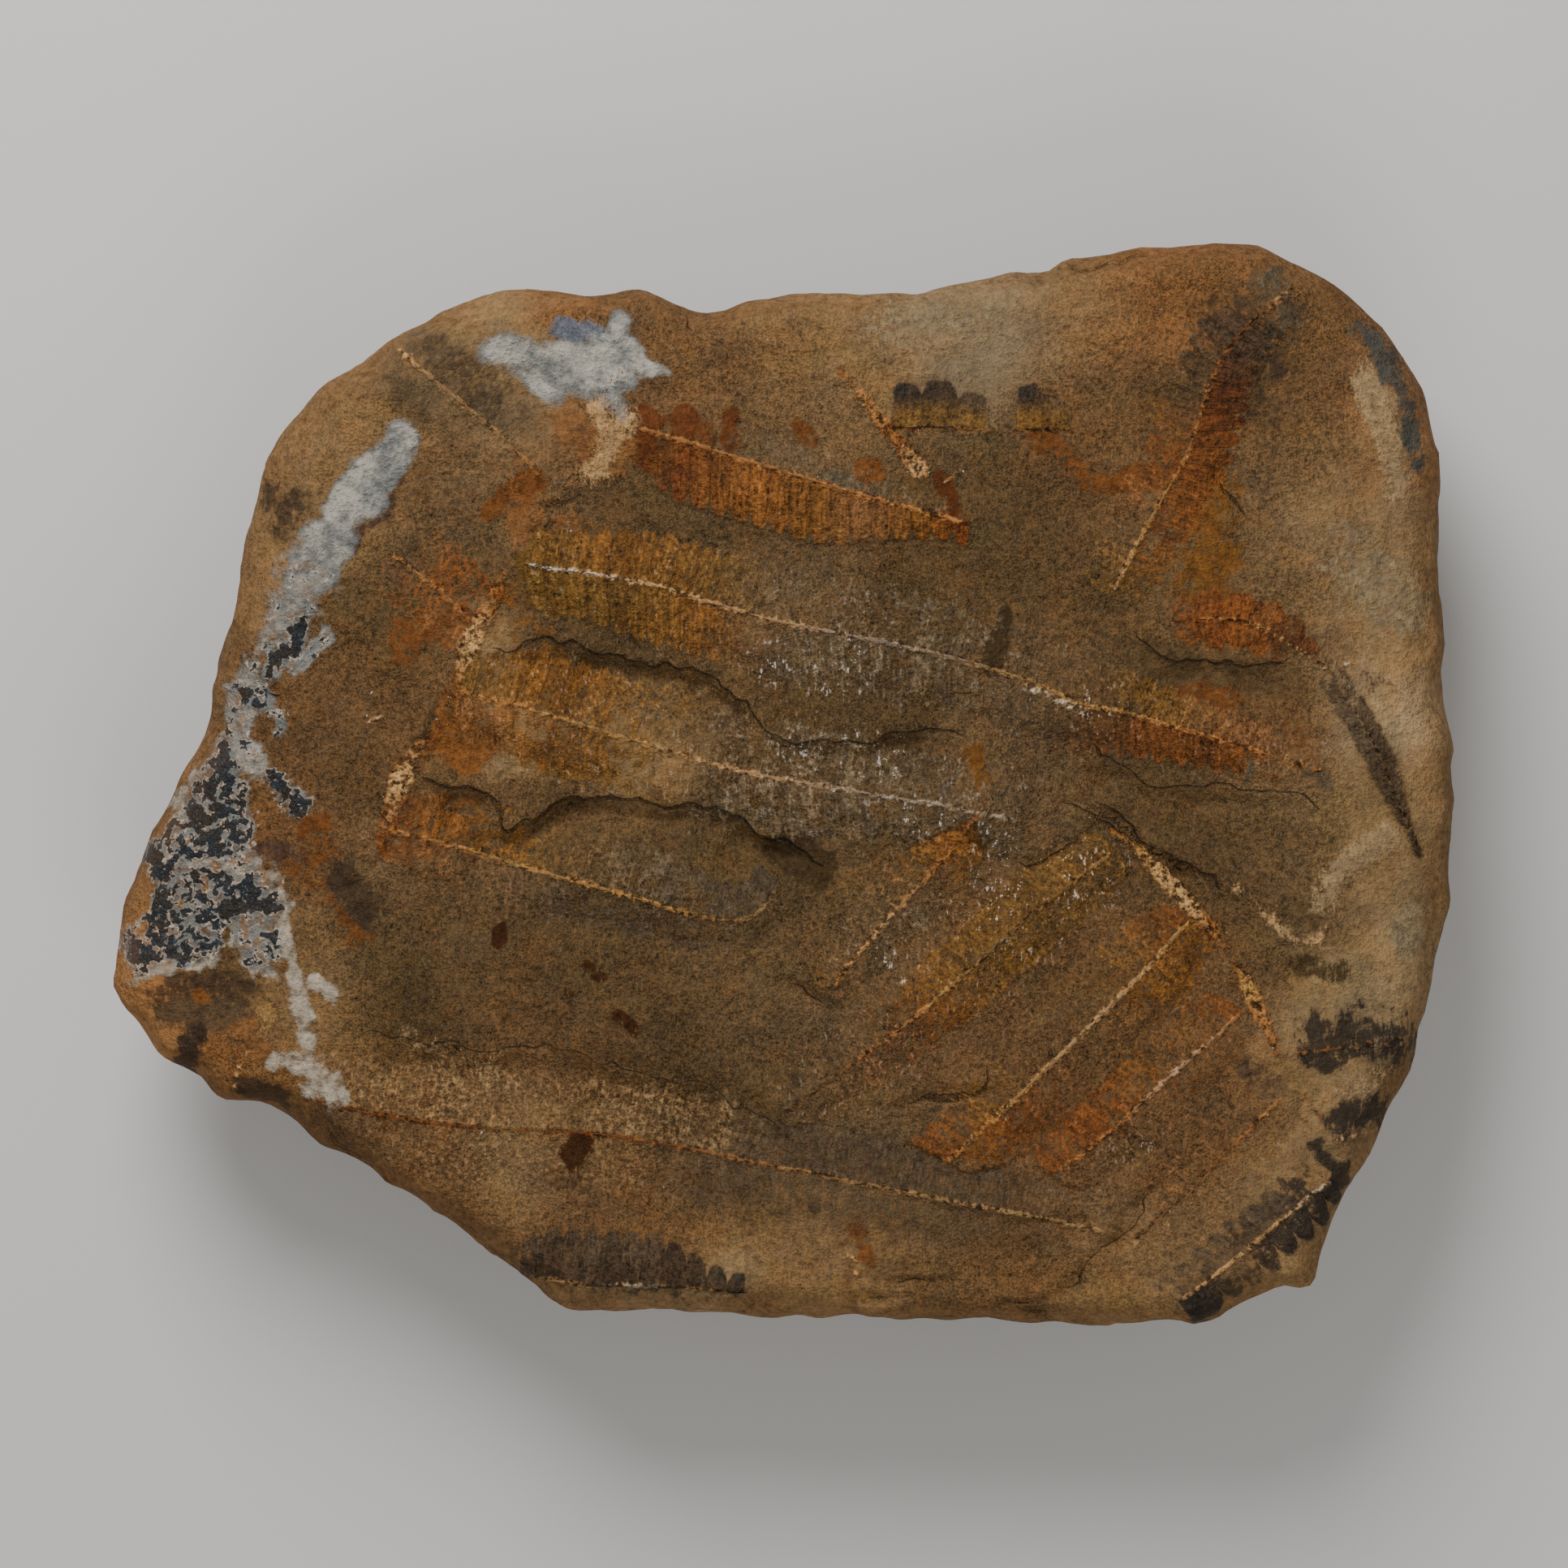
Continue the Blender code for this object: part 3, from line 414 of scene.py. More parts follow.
# The pinnae, from the axis outwards. left and right are the sides of that direction: the blade's reach,
# its finishes and how much of it is kept, spaced evenly from the base to the tip. tints and rib are the
# midrib's finishes and half width. vein is how pale the pinnules' own veins are, or if negative how dark.
# cut is how deep the pinnules are parted and feather how ragged their ends are, in millimetres. arch is how
# high the blade bows up, and tip and start are how much narrower its ends are. pitch is the pinnules'
# spacing, lean scales how far they lean, and foot is a finish next to the midrib.
PINNAE = {
    "first": dict(
        line=[(-17.4, 43.3), (-6.6, 40.0), (7.4, 35.8), (21.8, 31.8)], arch=0.5, rib=0.3,
        left=(4.0, "rust rust umber ash ash ash ash rust_orange", (.3, .3, .3, .35, .35, .3, .2, .5)),
        right=(
            7.4, "olive russet orange orange olive_orange ochre olive_orange deep_orange",
            (.05, 1, 1, 1, 1, 1, 1, 1),
        ),
        tints="cream_orange cream_orange cream_orange cream_orange", vein=.6, glitter=.1, tip=.65,
        feather=.3, cut=1.7, start=.5,
    ),
    "second": dict(
        line=[
            (-30.6, 26.5), (-16.6, 24.3), (-1.6, 20.0), (13.4, 17.0), (26.4, 13.7), (36.4, 9.7),
            (42.4, 8.5), (53.4, 5.3), (65.4, 1.5),
        ],
        arch=0.95, rib=0.26,
        left=(
            6.5, "olive olive_orange olive ash ash ash umber olive ochre umber",
            (.85, .85, .7, .35, .3, .4, .35, .6, 1, .1),
        ),
        right=(
            6.9, "olive olive olive_orange ash ash ash umber rust_orange rust_orange umber",
            (.9, .85, .7, .5, .5, .5, .4, .8, .8, .1),
        ),
        tints="white cream cream clay tan yellow_cream cream_orange cream_orange", vein=.75, glitter=.6,
        tip=.5, cut=1.3, feather=.35,
    ),
    "third": dict(
        line=[
            (-39.1, 11.0), (-32.6, 9.5), (-20.6, 6.0), (-10.6, 3.0), (-1.6, 0.8), (9.4, -1.0), (22.4, -3.3),
            (28.4, -4.5),
        ],
        arch=1.1, rib=0.24,
        left=(7.4, "olive olive_orange olive ash ash ash ash", (.7, .7, .55, .35, .4, .5, .3)),
        right=(7.0, "ochre olive_orange olive ash ash ash ash", (.65, .6, .5, .45, .5, .5, .3)),
        tints="cream_orange yellow_cream cream clay clay", vein=.35, glitter=.8, tip=.3, cut=1.1,
    ),
    "fourth": dict(
        line=[
            (-48.6, -5.5), (-40.6, -7.5), (-27.6, -11.3), (-16.6, -14.3), (-8.6, -16.5), (-3.8, -16.2),
            (-0.8, -12.8),
        ],
        arch=0.6, rib=0.24,
        left=(6.4, "rust_orange olive_orange olive ash grey grey", (.6, .5, .3, .4, .5, .5)),
        right=(5.2, "rust_orange brown grey grey umber", (.5, .4, .45, .4, .3)),
        tints="cream_orange yellow_cream yellow_cream ash", vein=.15, glitter=.15, tip=.4,
    ),
    "fifth": dict(
        line=[
            (-56.6, -38.7), (-48.6, -40.5), (-36.6, -42.0), (-22.6, -42.8), (-10.6, -44.7), (3.4, -47.5),
            (17.4, -50.3), (29.4, -52.5), (39.9, -54.7),
        ],
        arch=0.6, rib=0.2,
        left=(6.8, "sand tan sand tan grey grey grey ash", (.3, .35, .3, .35, .65, .65, .6, .3)),
        right=(6.0, "soot_brown tan sand grey grey grey ash", (.4, .2, .2, .5, .5, .4, .3)),
        tints="rust_orange rust_orange rust_orange ochre sand tan tan", vein=-.7, glitter=.1, tip=.25,
        cut=.2, feather=1.6,
    ),
    "left_upper": dict(
        line=[(-47.1, 53.0), (-40.6, 47.5), (-34.6, 42.5), (-29.6, 37.5)], arch=0.4, rib=0.34,
        left=(5.8, "grey soot_brown grey brown", (.55, .55, .5, .4)),
        right=(5.8, "grey grey brown rust_orange", (.5, .4, .3, .5)), tints="cream tan tan ochre", vein=.1,
        glitter=.05, tip=.2, cut=1.0, feather=1.2,
    ),
    "left_mid": dict(
        line=[(-47.6, 27.9), (-42.6, 24.0), (-38.1, 20.0)], arch=0.3, rib=0.24,
        left=(5.8, "brown rust_orange rust_orange", (.3, .7, .5)),
        right=(5.0, "brown rust_orange ochre", (.4, .5, .3)), tints="cream_orange cream_orange ochre",
        vein=.15, glitter=.05, tip=.1,
    ),
    "right_first": dict(
        line=[(24.4, -3.0), (18.4, -10.5), (11.9, -17.5), (6.2, -24.5)], arch=0.6, rib=0.22,
        left=(3.8, "olive_orange olive_orange ash ash brown", (.8, .5, .45, .45, .4)),
        right=(4.2, "rust_orange olive_orange olive ash olive", (.9, .7, .4, .4, .35)),
        tints="ochre cream_orange cream cream_orange", vein=.25, glitter=.5, tip=.1, start=0,
    ),
    "right_second": dict(
        line=[(39.9, -8.5), (30.4, -16.0), (22.4, -23.0), (13.4, -30.5), (4.4, -37.0), (-0.6, -41.0)],
        arch=0.7, rib=0.2,
        left=(4.8, "olive olive olive rust_orange brown umber", (.5, .55, .5, .5, .3, .4)),
        right=(4.8, "olive olive olive olive_orange umber umber", (.5, .6, .55, .5, .4, .4)),
        tints="yellow_cream olive ash yellow_cream cream_orange umber umber", vein=.35, glitter=.9, tip=.3,
    ),
    "right_third": dict(
        line=[(49.2, -17.0), (43.4, -23.5), (33.4, -33.5), (23.4, -43.0), (19.9, -46.0)], arch=0.8,
        rib=0.32,
        left=(6.0, "olive_orange olive_orange brown rust_orange olive_orange", (.6, .5, .35, .6, .5)),
        right=(5.8, "rust_orange olive umber olive rust_orange", (.6, .4, .3, .4, .7)),
        tints="yellow_cream cream cream yellow_cream cream_orange", vein=.2, glitter=.3, tip=.2,
    ),
    "right_fourth": dict(
        line=[(55.4, -28.3), (47.4, -35.5), (40.4, -42.0), (33.9, -47.2)], arch=0.5, rib=0.24,
        left=(4.6, "brown rust_orange brown ash", (.4, .45, .3, .3)),
        right=(5.4, "rust_orange olive_orange rust_orange rust_orange", (.55, .4, .6, .55)),
        tints="cream_orange pink_white cream_orange cream_orange", vein=.15, glitter=.25, tip=.15,
    ),
    "right_fifth": dict(
        line=[(60.6, -38.5), (54.4, -44.5), (47.4, -51.5), (43.0, -55.5)], arch=0.2, rib=0.16,
        left=(4.0, "grey brown sand sand", (.3, .25, .2, .2)),
        right=(4.4, "brown brown ochre brown", (.3, .3, .3, .2)), tints="cream_orange ochre brown brown",
        vein=.1, glitter=.1, tip=.2,
    ),
    "upper_right": dict(
        line=[(40.2, 23.5), (44.4, 31.5), (49.4, 40.5), (52.4, 49.5), (56.4, 55.5), (62.4, 60.5)],
        arch=0.35, rib=0.2, pitch=2.1,
        left=(5.2, "olive ochre rust_orange umber soot_brown umber", (.3, .35, .5, .75, .85, .15)),
        right=(5.6, "olive rust_orange rust_orange rust soot_brown umber", (.3, .6, .75, .85, .85, .15)),
        tints="cream yellow_cream cream_orange ochre rust_orange tan", vein=.2, glitter=.1, tip=.3, cut=2.0,
        feather=.55,
    ),
    "right_patch": dict(
        line=[(48.6, 19.8), (54.6, 20.0), (59.6, 18.4), (66.6, 13.6)], arch=0.3, rib=0.14, pitch=3.1,
        left=(3.6, "rust_orange deep_orange rust_orange russet rust", (.7, .9, .7, .7, .2)),
        right=(3.6, "rust_orange deep_orange rust_orange rust ash", (.7, .95, .6, .2, 0)),
        tints="rust_orange cream_orange tan tan", vein=.2, glitter=.1, tip=.6, cut=1.1, feather=.6,
    ),
    "streaked": dict(
        line=[(65.4, 15.8), (68.6, 10.6), (72.4, 4.0), (75.0, -2.4), (77.2, -7.6)], arch=0.25, rib=0.08,
        pitch=3.6, left=(1.8, "ash grey soot_brown grey soot_brown", (.3, .65, .9, 1, .9)),
        right=(2.1, "grey grey grey soot_brown soot_brown", (.3, .75, .95, 1, .9)),
        tints="ash ash grey grey", vein=0, glitter=.1, tip=.75, start=.7, cut=.1, feather=.5,
    ),
    "dark_three": dict(
        line=[(15.0, 43.4), (19.0, 43.5), (23.2, 43.3)], arch=0.1, rib=0.08, pitch=4.1,
        left=(5.7, "soot soot_brown soot_brown", (.95, .9, .7)), right=(0.4, "ochre", (.5,)),
        tints="brown umber", vein=0, glitter=.05, tip=.25, cut=1.7, feather=.25, start=.05, lean=0,
        foot="olive",
    ),
    "dark_two": dict(
        line=[(29.8, 43.2), (33.4, 43.1)], arch=0.1, rib=0.08, pitch=3.6,
        left=(5.8, "soot brown", (.95, .85)), right=(0.4, "ochre", (.5,)), tints="umber brown", vein=0,
        glitter=.05, tip=.2, cut=1.5, feather=.25, start=.05, lean=0, foot="olive",
    ),
    "black_one": dict(
        line=[(62.2, -32.9), (68.4, -32.2), (76.2, -31.2)], arch=0.3, rib=0.15, pitch=1.8,
        left=(4.4, "soot_brown soot soot_brown", (.1, .25, .2)),
        right=(2.8, "soot_brown soot soot", (.1, .2, .2)), tints="cream_orange ochre soot_brown soot",
        vein=0, glitter=.1, tip=.1, cut=.3, feather=1.5,
    ),
    "black_two": dict(
        line=[(67.6, -43.3), (72.4, -42.5)], arch=0.25, rib=0.16, pitch=1.8,
        left=(3.7, "soot soot", (.35, .3)), right=(1.9, "grey grey", (.6, .5)),
        tints="pink_white pink_white", vein=0, glitter=.1, tip=.3, cut=.5, feather=1.4,
    ),
    "black_three": dict(
        line=[(66.4, -48.6), (62.4, -51.8), (55.4, -57.7), (49.0, -62.8)], arch=0.3, rib=0.14, pitch=2.7,
        left=(4.4, "soot soot soot_brown soot", (.8, .8, .4, .8)),
        right=(4.2, "soot grey grey grey", (.35, .62, .66, .45)), tints="warm_white cream cream tan",
        vein=0, glitter=.1, tip=.1, cut=2.4, feather=.7,
    ),
    "black_four": dict(
        line=[(-31.6, -60.2), (-23.8, -61.1), (-15.3, -61.4), (-5.6, -62.1)], arch=0.35, rib=0.08,
        pitch=2.6,
        left=(6.6, "grey soot_brown grey grey soot_brown soot_brown soot", (.75, .95, .95, 1, .95, .95, 1)),
        right=(1.6, "soot_brown grey soot", (.35, .4, .45)), tints="soot cream soot clay soot tan soot",
        vein=0, glitter=.05, tip=.6, cut=1.7, feather=.25, start=.2, lean=.4, foot="soot_brown",
    ),
}

# Clusters of bright flakes and painted glints: centre and radius. Elsewhere a glittering blade has only
# a little.
GLINTS = [
    (6.2, 12.5, 3.6), (11.0, 3.7, 3.4), (-1.5, 14.5, 3.0), (25.4, -7.5, 2.6), (13.0, -22.5, 2.6),
    (35.4, -12.1, 4.0), (46.6, -8.5, 2.4), (25.0, -14.0, 4.5), (43.4, -44.1, 3.0), (32.0, 26.1, 3.4),
    (67.4, 16.0, 2.6), (8.4, 16.0, 2.6), (17.0, -4.0, 2.6), (28.0, -18.0, 3.0), (38.0, 9.0, 2.4),
    (2.0, 3.0, 2.6),
]

# The thick frond axes that carry the pinnae: line, half width, height, finishes and how much is kept.
AXES = {
    "left_axis": (
        [
            (-20.4, 50.0), (-21.6, 44.0), (-23.4, 39.0), (-28.0, 34.8), (-32.6, 28.0), (-36.6, 20.5),
            (-38.9, 15.0), (-40.4, 9.5), (-43.6, 5.5), (-46.6, 0.5), (-48.6, -5.0), (-52.6, -11.0),
        ],
        1.6, 0.5, "cream pink_white cream ochre ochre cream_orange cream ochre ochre cream ochre ochre",
        (.4, .35, .4, .3, .25, .55, 1, .35, .5, 1, .45, .2),
    ),
    "right_axis": (
        [
            (36.2, -3.4), (39.5, -5.4), (43.0, -7.6), (46.4, -11.3), (49.7, -14.9), (52.8, -18.6),
            (55.5, -22.2), (57.0, -25.4), (60.4, -32.8),
        ],
        1.2, 0.7,
        "ochre cream_orange yellow_cream cream cream cream_orange ochre yellow_cream cream_orange ochre",
        (.25, .45, .7, 1, 1, .75, .45, 1, .9, .6),
    ),
    "stub_axis": (
        [(6.9, 50.6), (11.4, 45.0), (16.6, 38.2)], 1.3, 0.4,
        "ochre cream_orange cream_orange rust_orange cream", (.5, .7, .8, .9, 1),
    ),
    "second_base": (
        [(-30.0, 31.0), (-29.0, 28.4), (-27.0, 27.4), (-24.0, 26.6)], 0.7, 0.3, "cream", (.55,),
    ),
}


def smooth_line(points, step=1.0, closed=False):
    """Points about a step apart along a Catmull-Rom curve through the given ones."""
    p = np.array(points, float)
    if closed:
        p = np.vstack([p[-1], p, p[0], p[1]])
    else:
        p = np.vstack([2 * p[0] - p[1], p, 2 * p[-1] - p[-2]])
    line = []
    for a, b, c, d in zip(p, p[1:], p[2:], p[3:]):
        count = max(2, math.ceil(np.linalg.norm(c - b) / step))
        t = np.arange(count)[:, None] / count
        bend = (2 * a - 5 * b + 4 * c - d) * t**2 + (3 * b - a - 3 * c + d) * t**3
        line.append(0.5 * (2 * b + (c - a) * t + bend))
    if not closed:
        line.append(p[-2][None, :])
    return np.vstack(line)


def line_length(line):
    return np.linalg.norm(np.diff(line, axis=0), axis=1).sum()


def lengthened(line, extra):
    """The line with a straight run of the extra length at both ends."""
    start = (line[0] - line[1]) / np.linalg.norm(line[0] - line[1])
    end = (line[-1] - line[-2]) / np.linalg.norm(line[-1] - line[-2])
    return np.vstack([line[0] + start * extra, line, line[-1] + end * extra])


def along_and_across(xy, line):
    """For each point: the run along the line, the distance to its left (right is negative), the distance."""
    starts, runs = line[:-1], np.diff(line, axis=0)
    lengths = np.linalg.norm(runs, axis=1)
    before = np.concatenate([[0.0], np.cumsum(lengths)[:-1]])
    best = np.full(len(xy), np.inf)
    along, across = np.zeros(len(xy)), np.zeros(len(xy))
    for start, run, length, so_far in zip(starts, runs, lengths, before):
        offset = xy - start
        share = np.clip(offset @ run / length**2, 0, 1)
        distance = np.linalg.norm(offset - share[:, None] * run, axis=1)
        closer = distance < best
        side = run[0] * offset[:, 1] - run[1] * offset[:, 0]
        best = np.where(closer, distance, best)
        along = np.where(closer, so_far + share * length, along)
        across = np.where(closer, np.copysign(distance, side), across)
    return along, across, best


def near(xy, line, reach):
    """Which points lie inside the line's box widened by the reach."""
    low, high = line.min(axis=0) - reach, line.max(axis=0) + reach
    return np.flatnonzero(((xy >= low) & (xy <= high)).all(axis=1))


def smoothstep(low, high, value):
    t = np.clip((value - low) / (high - low), 0, 1)
    return t * t * (3 - 2 * t)


def spaced(values, share):
    """The value at a share from 0 to 1 along evenly spaced values, which may be colours."""
    values = np.array(values, float)
    if len(values) == 1:
        return np.broadcast_to(values[0], np.shape(share) + values.shape[1:])
    place = np.clip(share, 0, 1) * (len(values) - 1)
    low = np.minimum(place.astype(int), len(values) - 2)
    t = place - low
    if values.ndim > 1:
        t = t[:, None]
    return values[low] * (1 - t) + values[low + 1] * t


def linear(name):
    """A finish of the palette as linear light."""
    share = np.array(PALETTE[name], float) / 255
    return np.where(share <= 0.04045, share / 12.92, ((share + 0.055) / 1.055) ** 2.4)


def linears(names):
    return [linear(name) for name in names.split()]


def lumps(points, height, wavelength, seed):
    """A smooth random field between about plus and minus the height, made of crossing waves."""
    chance = np.random.default_rng(seed)
    field = np.zeros(len(points))
    waves = 9
    for _ in range(waves):
        direction = chance.normal(size=points.shape[1])
        direction /= np.linalg.norm(direction)
        turn = 2 * math.pi / (wavelength * chance.uniform(0.7, 1.5))
        field += np.cos(points @ direction * turn + chance.uniform(0, 2 * math.pi))
    return height * field / math.sqrt(waves)


@functools.cache
def noise_cells(seed, side=64):
    return np.random.default_rng(seed).uniform(-1, 1, (side, side, side))


def noise(points, height, size, seed):
    """Rough random height: random values on a lattice, smoothly joined."""
    cells = noise_cells(seed)
    if points.shape[1] == 2:
        points = np.column_stack([points, np.full(len(points), FLAT_SLICE * size)])
    place = points / size + LATTICE_SHIFT
    low = np.floor(place).astype(int)
    t = place - low
    t = t * t * (3 - 2 * t)
    total = np.zeros(len(points))
    for corner in np.ndindex(2, 2, 2):
        weight = np.prod([t[:, axis] if corner[axis] else 1 - t[:, axis] for axis in range(3)], axis=0)
        x, y, z = ((low + corner) % len(cells)).T
        total += weight * cells[x, y, z]
    return height * total


def layered_noise(points, layers):
    return sum(noise(points, *layer) for layer in layers)


def wandered(xy, share=1.0):
    """The points moved a little at random, so that what is drawn through them gets a ragged edge."""
    return xy + share * np.column_stack([layered_noise(xy + shift, EDGE_WANDER) for shift in (0.0, 500.0)])


def clouds(points, size, seed):
    """Soft noise around one half, in three layers of shrinking size."""
    layers = [(0.3, size, seed), (0.17, size / 2.1, seed + 1), (0.1, size / 4.3, seed + 2)]
    return 0.5 + layered_noise(points, layers)


def ledge_drop(xy, points, height, drop_width, floor_width):
    """Drop below each ledge, and how strongly painted light lifts the shade at the foot of its wall."""
    line = smooth_line(points)
    drop, foot = np.zeros(len(xy)), np.zeros(len(xy))
    inside = near(xy, line, floor_width)
    along, across, distance = along_and_across(xy[inside], line)
    ends = smoothstep(0, LEDGE_END, along) * smoothstep(0, LEDGE_END, line_length(line) - along)
    climb_back = 1 - smoothstep(drop_width, floor_width, distance)
    along_ledge = np.column_stack([along, np.full(len(along), height)])
    uneven = 1 + layered_noise(along_ledge, [(0.5, 7.0, 53), (0.3, 2.6, 54)])
    drop[inside] = -height * uneven * smoothstep(-LEDGE_LIP, drop_width, -across) * climb_back * ends
    # The foot gets painted light on the ledge's low side near the wall, where its shadow falls.
    foot[inside] = (ends * uneven * smoothstep(-0.2, 0.5, -across)
                    * (1 - smoothstep(0.2, 2.6 + height, distance)))
    return drop, foot * min(1, height / 1.6)


# Painted light at the foot of every ledge's wall, where its shadow falls.
def painted_ledge_light(xy):
    wavy = wandered(xy, LEDGE_WANDER)
    return np.max([ledge_drop(wavy, *ledge)[1] for ledge in LEDGES], axis=0)


def pinna_pitch(pinna, line):
    """The pinnules' spacing, adjusted so that a whole number of them fits the line."""
    length = line_length(line)
    return length / max(1, round(length / pinna.get("pitch", DEFAULT_PITCH)))


def pinna_reach(pinna, side, share):
    """Half width of the blade on one side at a share of the way to the tip."""
    started = 1 - pinna.get("start", DEFAULT_START) * (1 - smoothstep(0, PINNA_START, share))
    return pinna[side][0] * (1 - pinna["tip"] * smoothstep(PINNA_TIP, 1, share)) * started


def pinna_fields(xy, pinna):
    """Where points lie in a pinna: their rows, and for each the share of the way to the tip, the pinnule
    counted from the base, the distance from the midrib, whether on the left, and how far inside the blade."""
    line = smooth_line(pinna["line"])
    widest = max(pinna["left"][0], pinna["right"][0])
    rows = near(xy, line, widest + 3)
    along, across, distance = along_and_across(xy[rows], lengthened(line, PINNA_RUNOUT))
    along -= PINNA_RUNOUT
    length = line_length(line)
    share = np.clip(along / length, 0, 1)
    left = across > 0
    reach = np.where(left, pinna_reach(pinna, "left", share), pinna_reach(pinna, "right", share))
    leaned = along - distance * np.where(left, LEAN["left"], LEAN["right"]) * pinna.get("lean", 1.0)
    pitch = pinna_pitch(pinna, line)
    inside = np.minimum(reach - distance, np.minimum(leaned, length - leaned) + pitch / 2)
    return rows, share, leaned / pitch + 0.5, distance, left, inside, reach


def pinna_arch(xy, pinna):
    rows, _, _, distance, _, inside, reach = pinna_fields(xy, pinna)
    bow = np.clip(1 - (distance / np.maximum(reach, 0.1)) ** 2, 0, 1)
    arch = np.zeros(len(xy))
    arch[rows] = pinna["arch"] * bow * smoothstep(-0.5, 3.0, inside + bow)
    return arch


def ridge(distance, half_width, height):
    return height * np.sqrt(np.clip(1 - (distance / half_width) ** 2, 0, 1))


def axis_ridge(xy, points, half_width, height):
    line = smooth_line(points)
    lift = np.zeros(len(xy))
    rows = near(xy, line, half_width)
    lift[rows] = ridge(along_and_across(xy[rows], line)[2], half_width, height)
    return lift


def crust_inside(xy):
    """How thick the clay crust is at each point, from 0 to 1, and the share of black film there."""
    thickness, soot = np.zeros(len(xy)), np.zeros(len(xy))
    for points, start, end, softness, film in CRUSTS:
        line = smooth_line(points)
        rows = near(xy, line, max(start, end) + 3)
        along, _, distance = along_and_across(xy[rows], line)
        depth = start + (end - start) * along / line_length(line) - distance
        here = smoothstep(-softness, softness, depth)
        well_inside = smoothstep(-0.6, 1.0, depth)
        filmed = np.maximum(soot[rows], film * well_inside)
        soot[rows] = filmed if film >= 0 else soot[rows] * (1 - well_inside)
        thickness[rows] = np.maximum(thickness[rows], here)
    return thickness, soot


def face_relief(xy):
    """Height of the broken face above or below FACE_HEIGHT."""
    relief = lumps(xy, *UNDULATION) + lumps(xy, *ROUGHNESS) + layered_noise(xy, BREAK_GRAIN)
    for centre, radius, height in SWELLS:
        distance = np.linalg.norm(xy - np.array(centre), axis=1)
        relief += height * smoothstep(0, 1, 1 - distance / radius)
    wavy = wandered(xy, LEDGE_WANDER)
    for ledge in LEDGES:
        relief += ledge_drop(wavy, *ledge)[0]
    for pinna in PINNAE.values():
        relief += pinna_arch(xy, pinna)
    grit = layered_noise(xy, AXIS_GRAIN)
    for points, half_width, height, _, _ in AXES.values():
        bow = axis_ridge(xy, points, half_width, 1.0)
        relief += bow * (height * 0.6 + grit)
    for points, half_width, height, _, _ in FOLDS:
        relief += height * axis_ridge(xy, points, half_width, 1.0) ** 2
    for points, half_width in CRACKS:
        relief -= axis_ridge(wavy, points, half_width + 0.6, 0.5)
    return relief + CRUST_HEIGHT * crust_inside(wandered(xy))[0]


def outline_radius(angle):
    """Distance from the middle to the stone's edge at a compass angle in radians."""
    line = smooth_line(OUTLINE, closed=True)
    angles = np.arctan2(line[:, 1], line[:, 0])
    order = np.argsort(angles)
    radius = np.interp(angle, angles[order], np.linalg.norm(line, axis=1)[order], period=2 * math.pi)
    edge = np.column_stack([np.cos(angle), np.sin(angle)]) * radius[:, None]
    return radius + lumps(edge, *CHIPS)


def dome_radius(angle):
    """The outline without its corners: its mean over a wide window of angles."""
    offsets = np.arange(CORNER_STEP - CORNER_WINDOW, CORNER_WINDOW, CORNER_STEP)
    weights = np.cos(offsets / CORNER_WINDOW * math.pi / 2) ** 2
    radii = np.array([outline_radius(angle + turn) for turn in np.radians(offsets)])
    return weights @ radii / weights.sum()


def rim_roll(angle):
    """Width and depth of the rolled-over edge at a compass angle in radians."""
    table = np.array(RIM, float)
    turn = np.degrees(angle)
    return np.interp(turn, table[:, 0], table[:, 1]), np.interp(turn, table[:, 0], table[:, 2])


def face_height(xy):
    """Height of the stone's upper surface, with the rolled-over rim."""
    angle = np.arctan2(xy[:, 1], xy[:, 0])
    radius = outline_radius(angle)
    roll_width, roll_depth = rim_roll(angle)
    out = np.linalg.norm(xy, axis=1) / radius
    into_roll = np.clip(1 - (1 - out) * radius / roll_width, 0, 1)
    return FACE_HEIGHT + face_relief(xy) - roll_depth * (1 - np.sqrt(1 - into_roll**2)), into_roll


def rim_weathering(into_roll):
    """How weathered the upper surface is: 0 on the open face, 1 well down the roll."""
    return smoothstep(0.15, 0.75, into_roll)


def ball(cuts):
    """A unit ball with evenly sized square cells: a divided cube pushed out to the sphere."""
    cage = bmesh.new()
    bmesh.ops.create_cube(cage, size=2.0)
    bmesh.ops.subdivide_edges(cage, edges=cage.edges, cuts=cuts, use_grid_fill=True)
    mesh = bpy.data.meshes.new("nodule_stone")
    cage.to_mesh(mesh)
    cage.free()
    corners = np.empty(len(mesh.vertices) * 3, np.float32)
    mesh.vertices.foreach_get("co", corners)
    directions = np.tan(corners.reshape(-1, 3).astype(float) * math.pi / 4)
    return mesh, directions / np.linalg.norm(directions, axis=1)[:, None]


